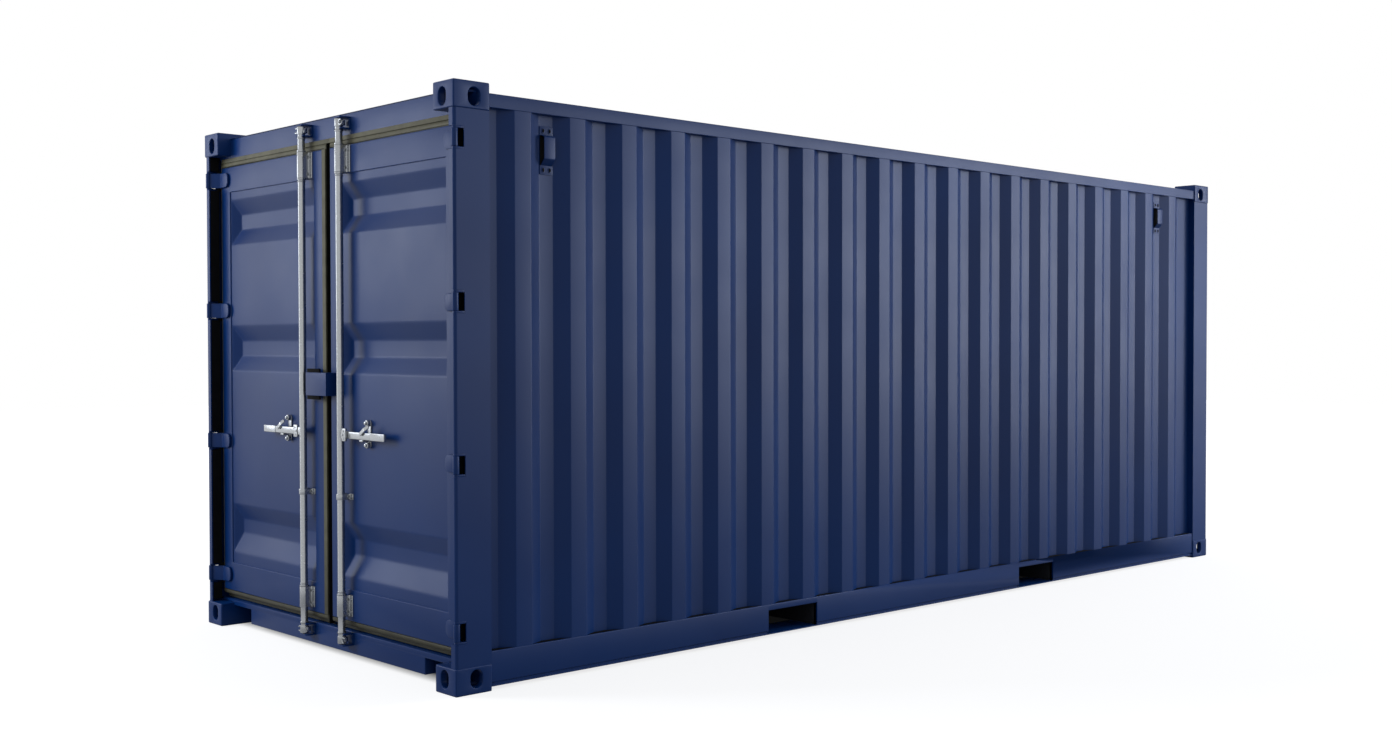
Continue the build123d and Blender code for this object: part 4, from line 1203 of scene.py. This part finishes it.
def studioFloor(look):
    half = look["size"] / 2
    floor = stageCard("studioFloor", [(x, y, 0) for x, y in rectangle(-half, half, -half, half)])
    material, tree, place = newMaterial("paleFloor")
    # The floor shows white where the light falls on it and darker in the object's shadow.
    # Far from the object it fades into the white background, also in reflections.
    away = addNode(tree, "VectorMath", {0: place}, operation="LENGTH").outputs["Value"]
    seenFade = addNode(tree, "MapRange", {
        "Value": away, "From Min": look["near"], "From Max": look["far"], "To Min": look["glow"]})
    # In reflections the floor near the object glows less than to the eye: painted shade of the
    # object.
    mirrorFade = addNode(tree, "MapRange", {
        "Value": away, "From Min": look["mirrorNear"], "From Max": look["mirrorFar"],
        "To Min": look["mirrored"]})
    rays = addNode(tree, "LightPath")
    bounced = addNode(tree, "Math", {
        0: rays.outputs["Is Glossy Ray"],
        1: rays.outputs["Is Transmission Ray"]}, operation="MAXIMUM")
    reflected = addNode(tree, "Math", {0: bounced, 1: mirrorFade}, operation="MULTIPLY")
    strength = addNode(tree, "Math", {
        0: rays.outputs["Is Camera Ray"], 1: seenFade, 2: reflected}, operation="MULTIPLY_ADD")
    # Under the object the floor is made nearly black, a painted shadow: how far a place is inside
    # the footprint is the lesser of its distances from the two pairs of edges.
    split = addNode(tree, "SeparateXYZ", {"Vector": place})
    inside = []
    for axis, half in enumerate(look["under"]):
        size = addNode(tree, "Math", {0: split.outputs[axis]}, operation="ABSOLUTE")
        inside.append(addNode(tree, "MapRange", {
            "Value": size, "From Min": half - look["paintedShadowSoft"], "From Max": half, "To Min": 1,
            "To Max": 0}))
    nearest = addNode(tree, "Math", {0: inside[0], 1: inside[1]}, operation="MINIMUM")
    bare = addNode(tree, "MapRange", {
        "Value": nearest, "To Min": 1, "To Max": look["paintedShadowShare"]})
    strength = addNode(tree, "Math", {0: strength, 1: bare}, operation="MULTIPLY")
    shade = addNode(tree, "Math", {0: bare, 1: look["diffuse"]}, operation="MULTIPLY")
    matt = addNode(tree, "BsdfDiffuse", {"Color": shade})
    glow = addNode(tree, "Emission", {"Strength": strength})
    lit = addNode(tree, "AddShader", {0: matt, 1: glow})
    addNode(tree, "OutputMaterial", {"Surface": lit})
    floor.data.materials.append(material)


def studioWorld(look):
    # white to the eye and in reflections, and a soft light on the object
    world = bpy.data.worlds.new("studioAir")
    bpy.context.scene.world = world
    world.use_nodes = True
    tree = world.node_tree
    tree.nodes.clear()
    rays = addNode(tree, "LightPath")
    seen = addNode(tree, "Math", {
        0: rays.outputs["Is Camera Ray"], 1: rays.outputs["Is Glossy Ray"]}, operation="MAXIMUM")
    seen = addNode(tree, "Math", {
        0: seen, 1: rays.outputs["Is Transmission Ray"]}, operation="MAXIMUM")
    soft = addNode(tree, "Background", {
        "Color": linear(look["tint"]), "Strength": look["ambient"]})
    white = addNode(tree, "Background", {"Color": (1, 1, 1, 1), "Strength": 1})
    both = addNode(tree, "MixShader", {0: seen, 1: soft, 2: white})
    addNode(tree, "OutputWorld", {"Surface": both})


def softbox(name, place, aim, wide, high, watts, tint, lights):
    # a rectangular lamp turned from its place to its aim
    lamp = bpy.data.lights.new(name, "AREA")
    lamp.shape = "RECTANGLE"
    lamp.size, lamp.size_y, lamp.energy = wide, high, watts
    lamp.color = linear(tint)[:3]
    box = newObject(name, lamp)
    box.visible_diffuse, box.visible_glossy = lights != "gloss", lights != "matt"
    box.location = place
    toward = np.array(aim, float) - np.array(place, float)
    heading = math.atan2(toward[1], toward[0])
    fall = math.atan2(-toward[2], math.hypot(toward[0], toward[1]))
    box.rotation_euler = (math.pi / 2 - fall, 0, heading - math.pi / 2)


def darkFlag(look):
    # a black studio card, seen only in reflections: it keeps the walls' narrow slopes dark
    card = stageCard("darkFlag", [
        (x, look["y"], z) for x, z in rectangle(*look["x"], 0, look["high"])])
    material, tree, _ = newMaterial("blackVelvet")
    velvet = addNode(tree, "BsdfDiffuse", {"Color": look["colour"]})
    addNode(tree, "OutputMaterial", {"Surface": velvet})
    card.data.materials.append(material)
    card.visible_camera = card.visible_diffuse = card.visible_shadow = False


def photoCamera(look):
    # at a little over half the container's height, looking slightly downwards
    camera = bpy.data.cameras.new("photoCamera")
    camera.sensor_width, camera.lens = look["sensor"], look["lens"]
    camera.shift_x, camera.clip_end = look["shift"], look["far"]
    viewer = newObject("photoCamera", camera)
    viewer.location = look["place"]
    viewer.rotation_euler = (math.radians(90 + look["tilt"]), 0, math.radians(look["turn"]))
    bpy.context.scene.camera = viewer


# Where a lamp says gloss it is only seen in reflections, and matt only lights.
lampPlan = (
    ("doorSoftbox", (-5.8, -9.4, 4.6), (0, -3, 1.3), 3.2, 3.2, 540, "#f4f8ff", "matt"),
    ("doorGloss", (-8.8, -9.3, 3), (0, -3, 1.3), 4, 3.2, 200, "#eef4ff", "gloss"),
    ("wallSoftbox", (6, 11, 4), (1.2, 0, 1.3), 4, 4, 820, "#f4f8ff", "matt"),
    ("wallGlossPost", (9.9, 2, 3.7), (1.2, -2.6, 1.5), 2.6, 2.6, 38, "#eaf1ff", "gloss"),
    ("wallGlossNear", (9.5, 6, 2.8), (1.2, 0, 1.3), 4, 4.4, 440, "#eaf1ff", "gloss"),
    ("wallGlossFar", (7, 8.5, 2.8), (1.2, 0, 1.3), 4, 4.4, 400, "#eaf1ff", "gloss"))
studioFloor(stageLook)
studioWorld(airLook)
darkFlag(flagLook)
for lamp in lampPlan:
    softbox(*lamp)
photoCamera(cameraLook)
bpy.context.scene.view_settings.view_transform = "Standard"
print("stage set")
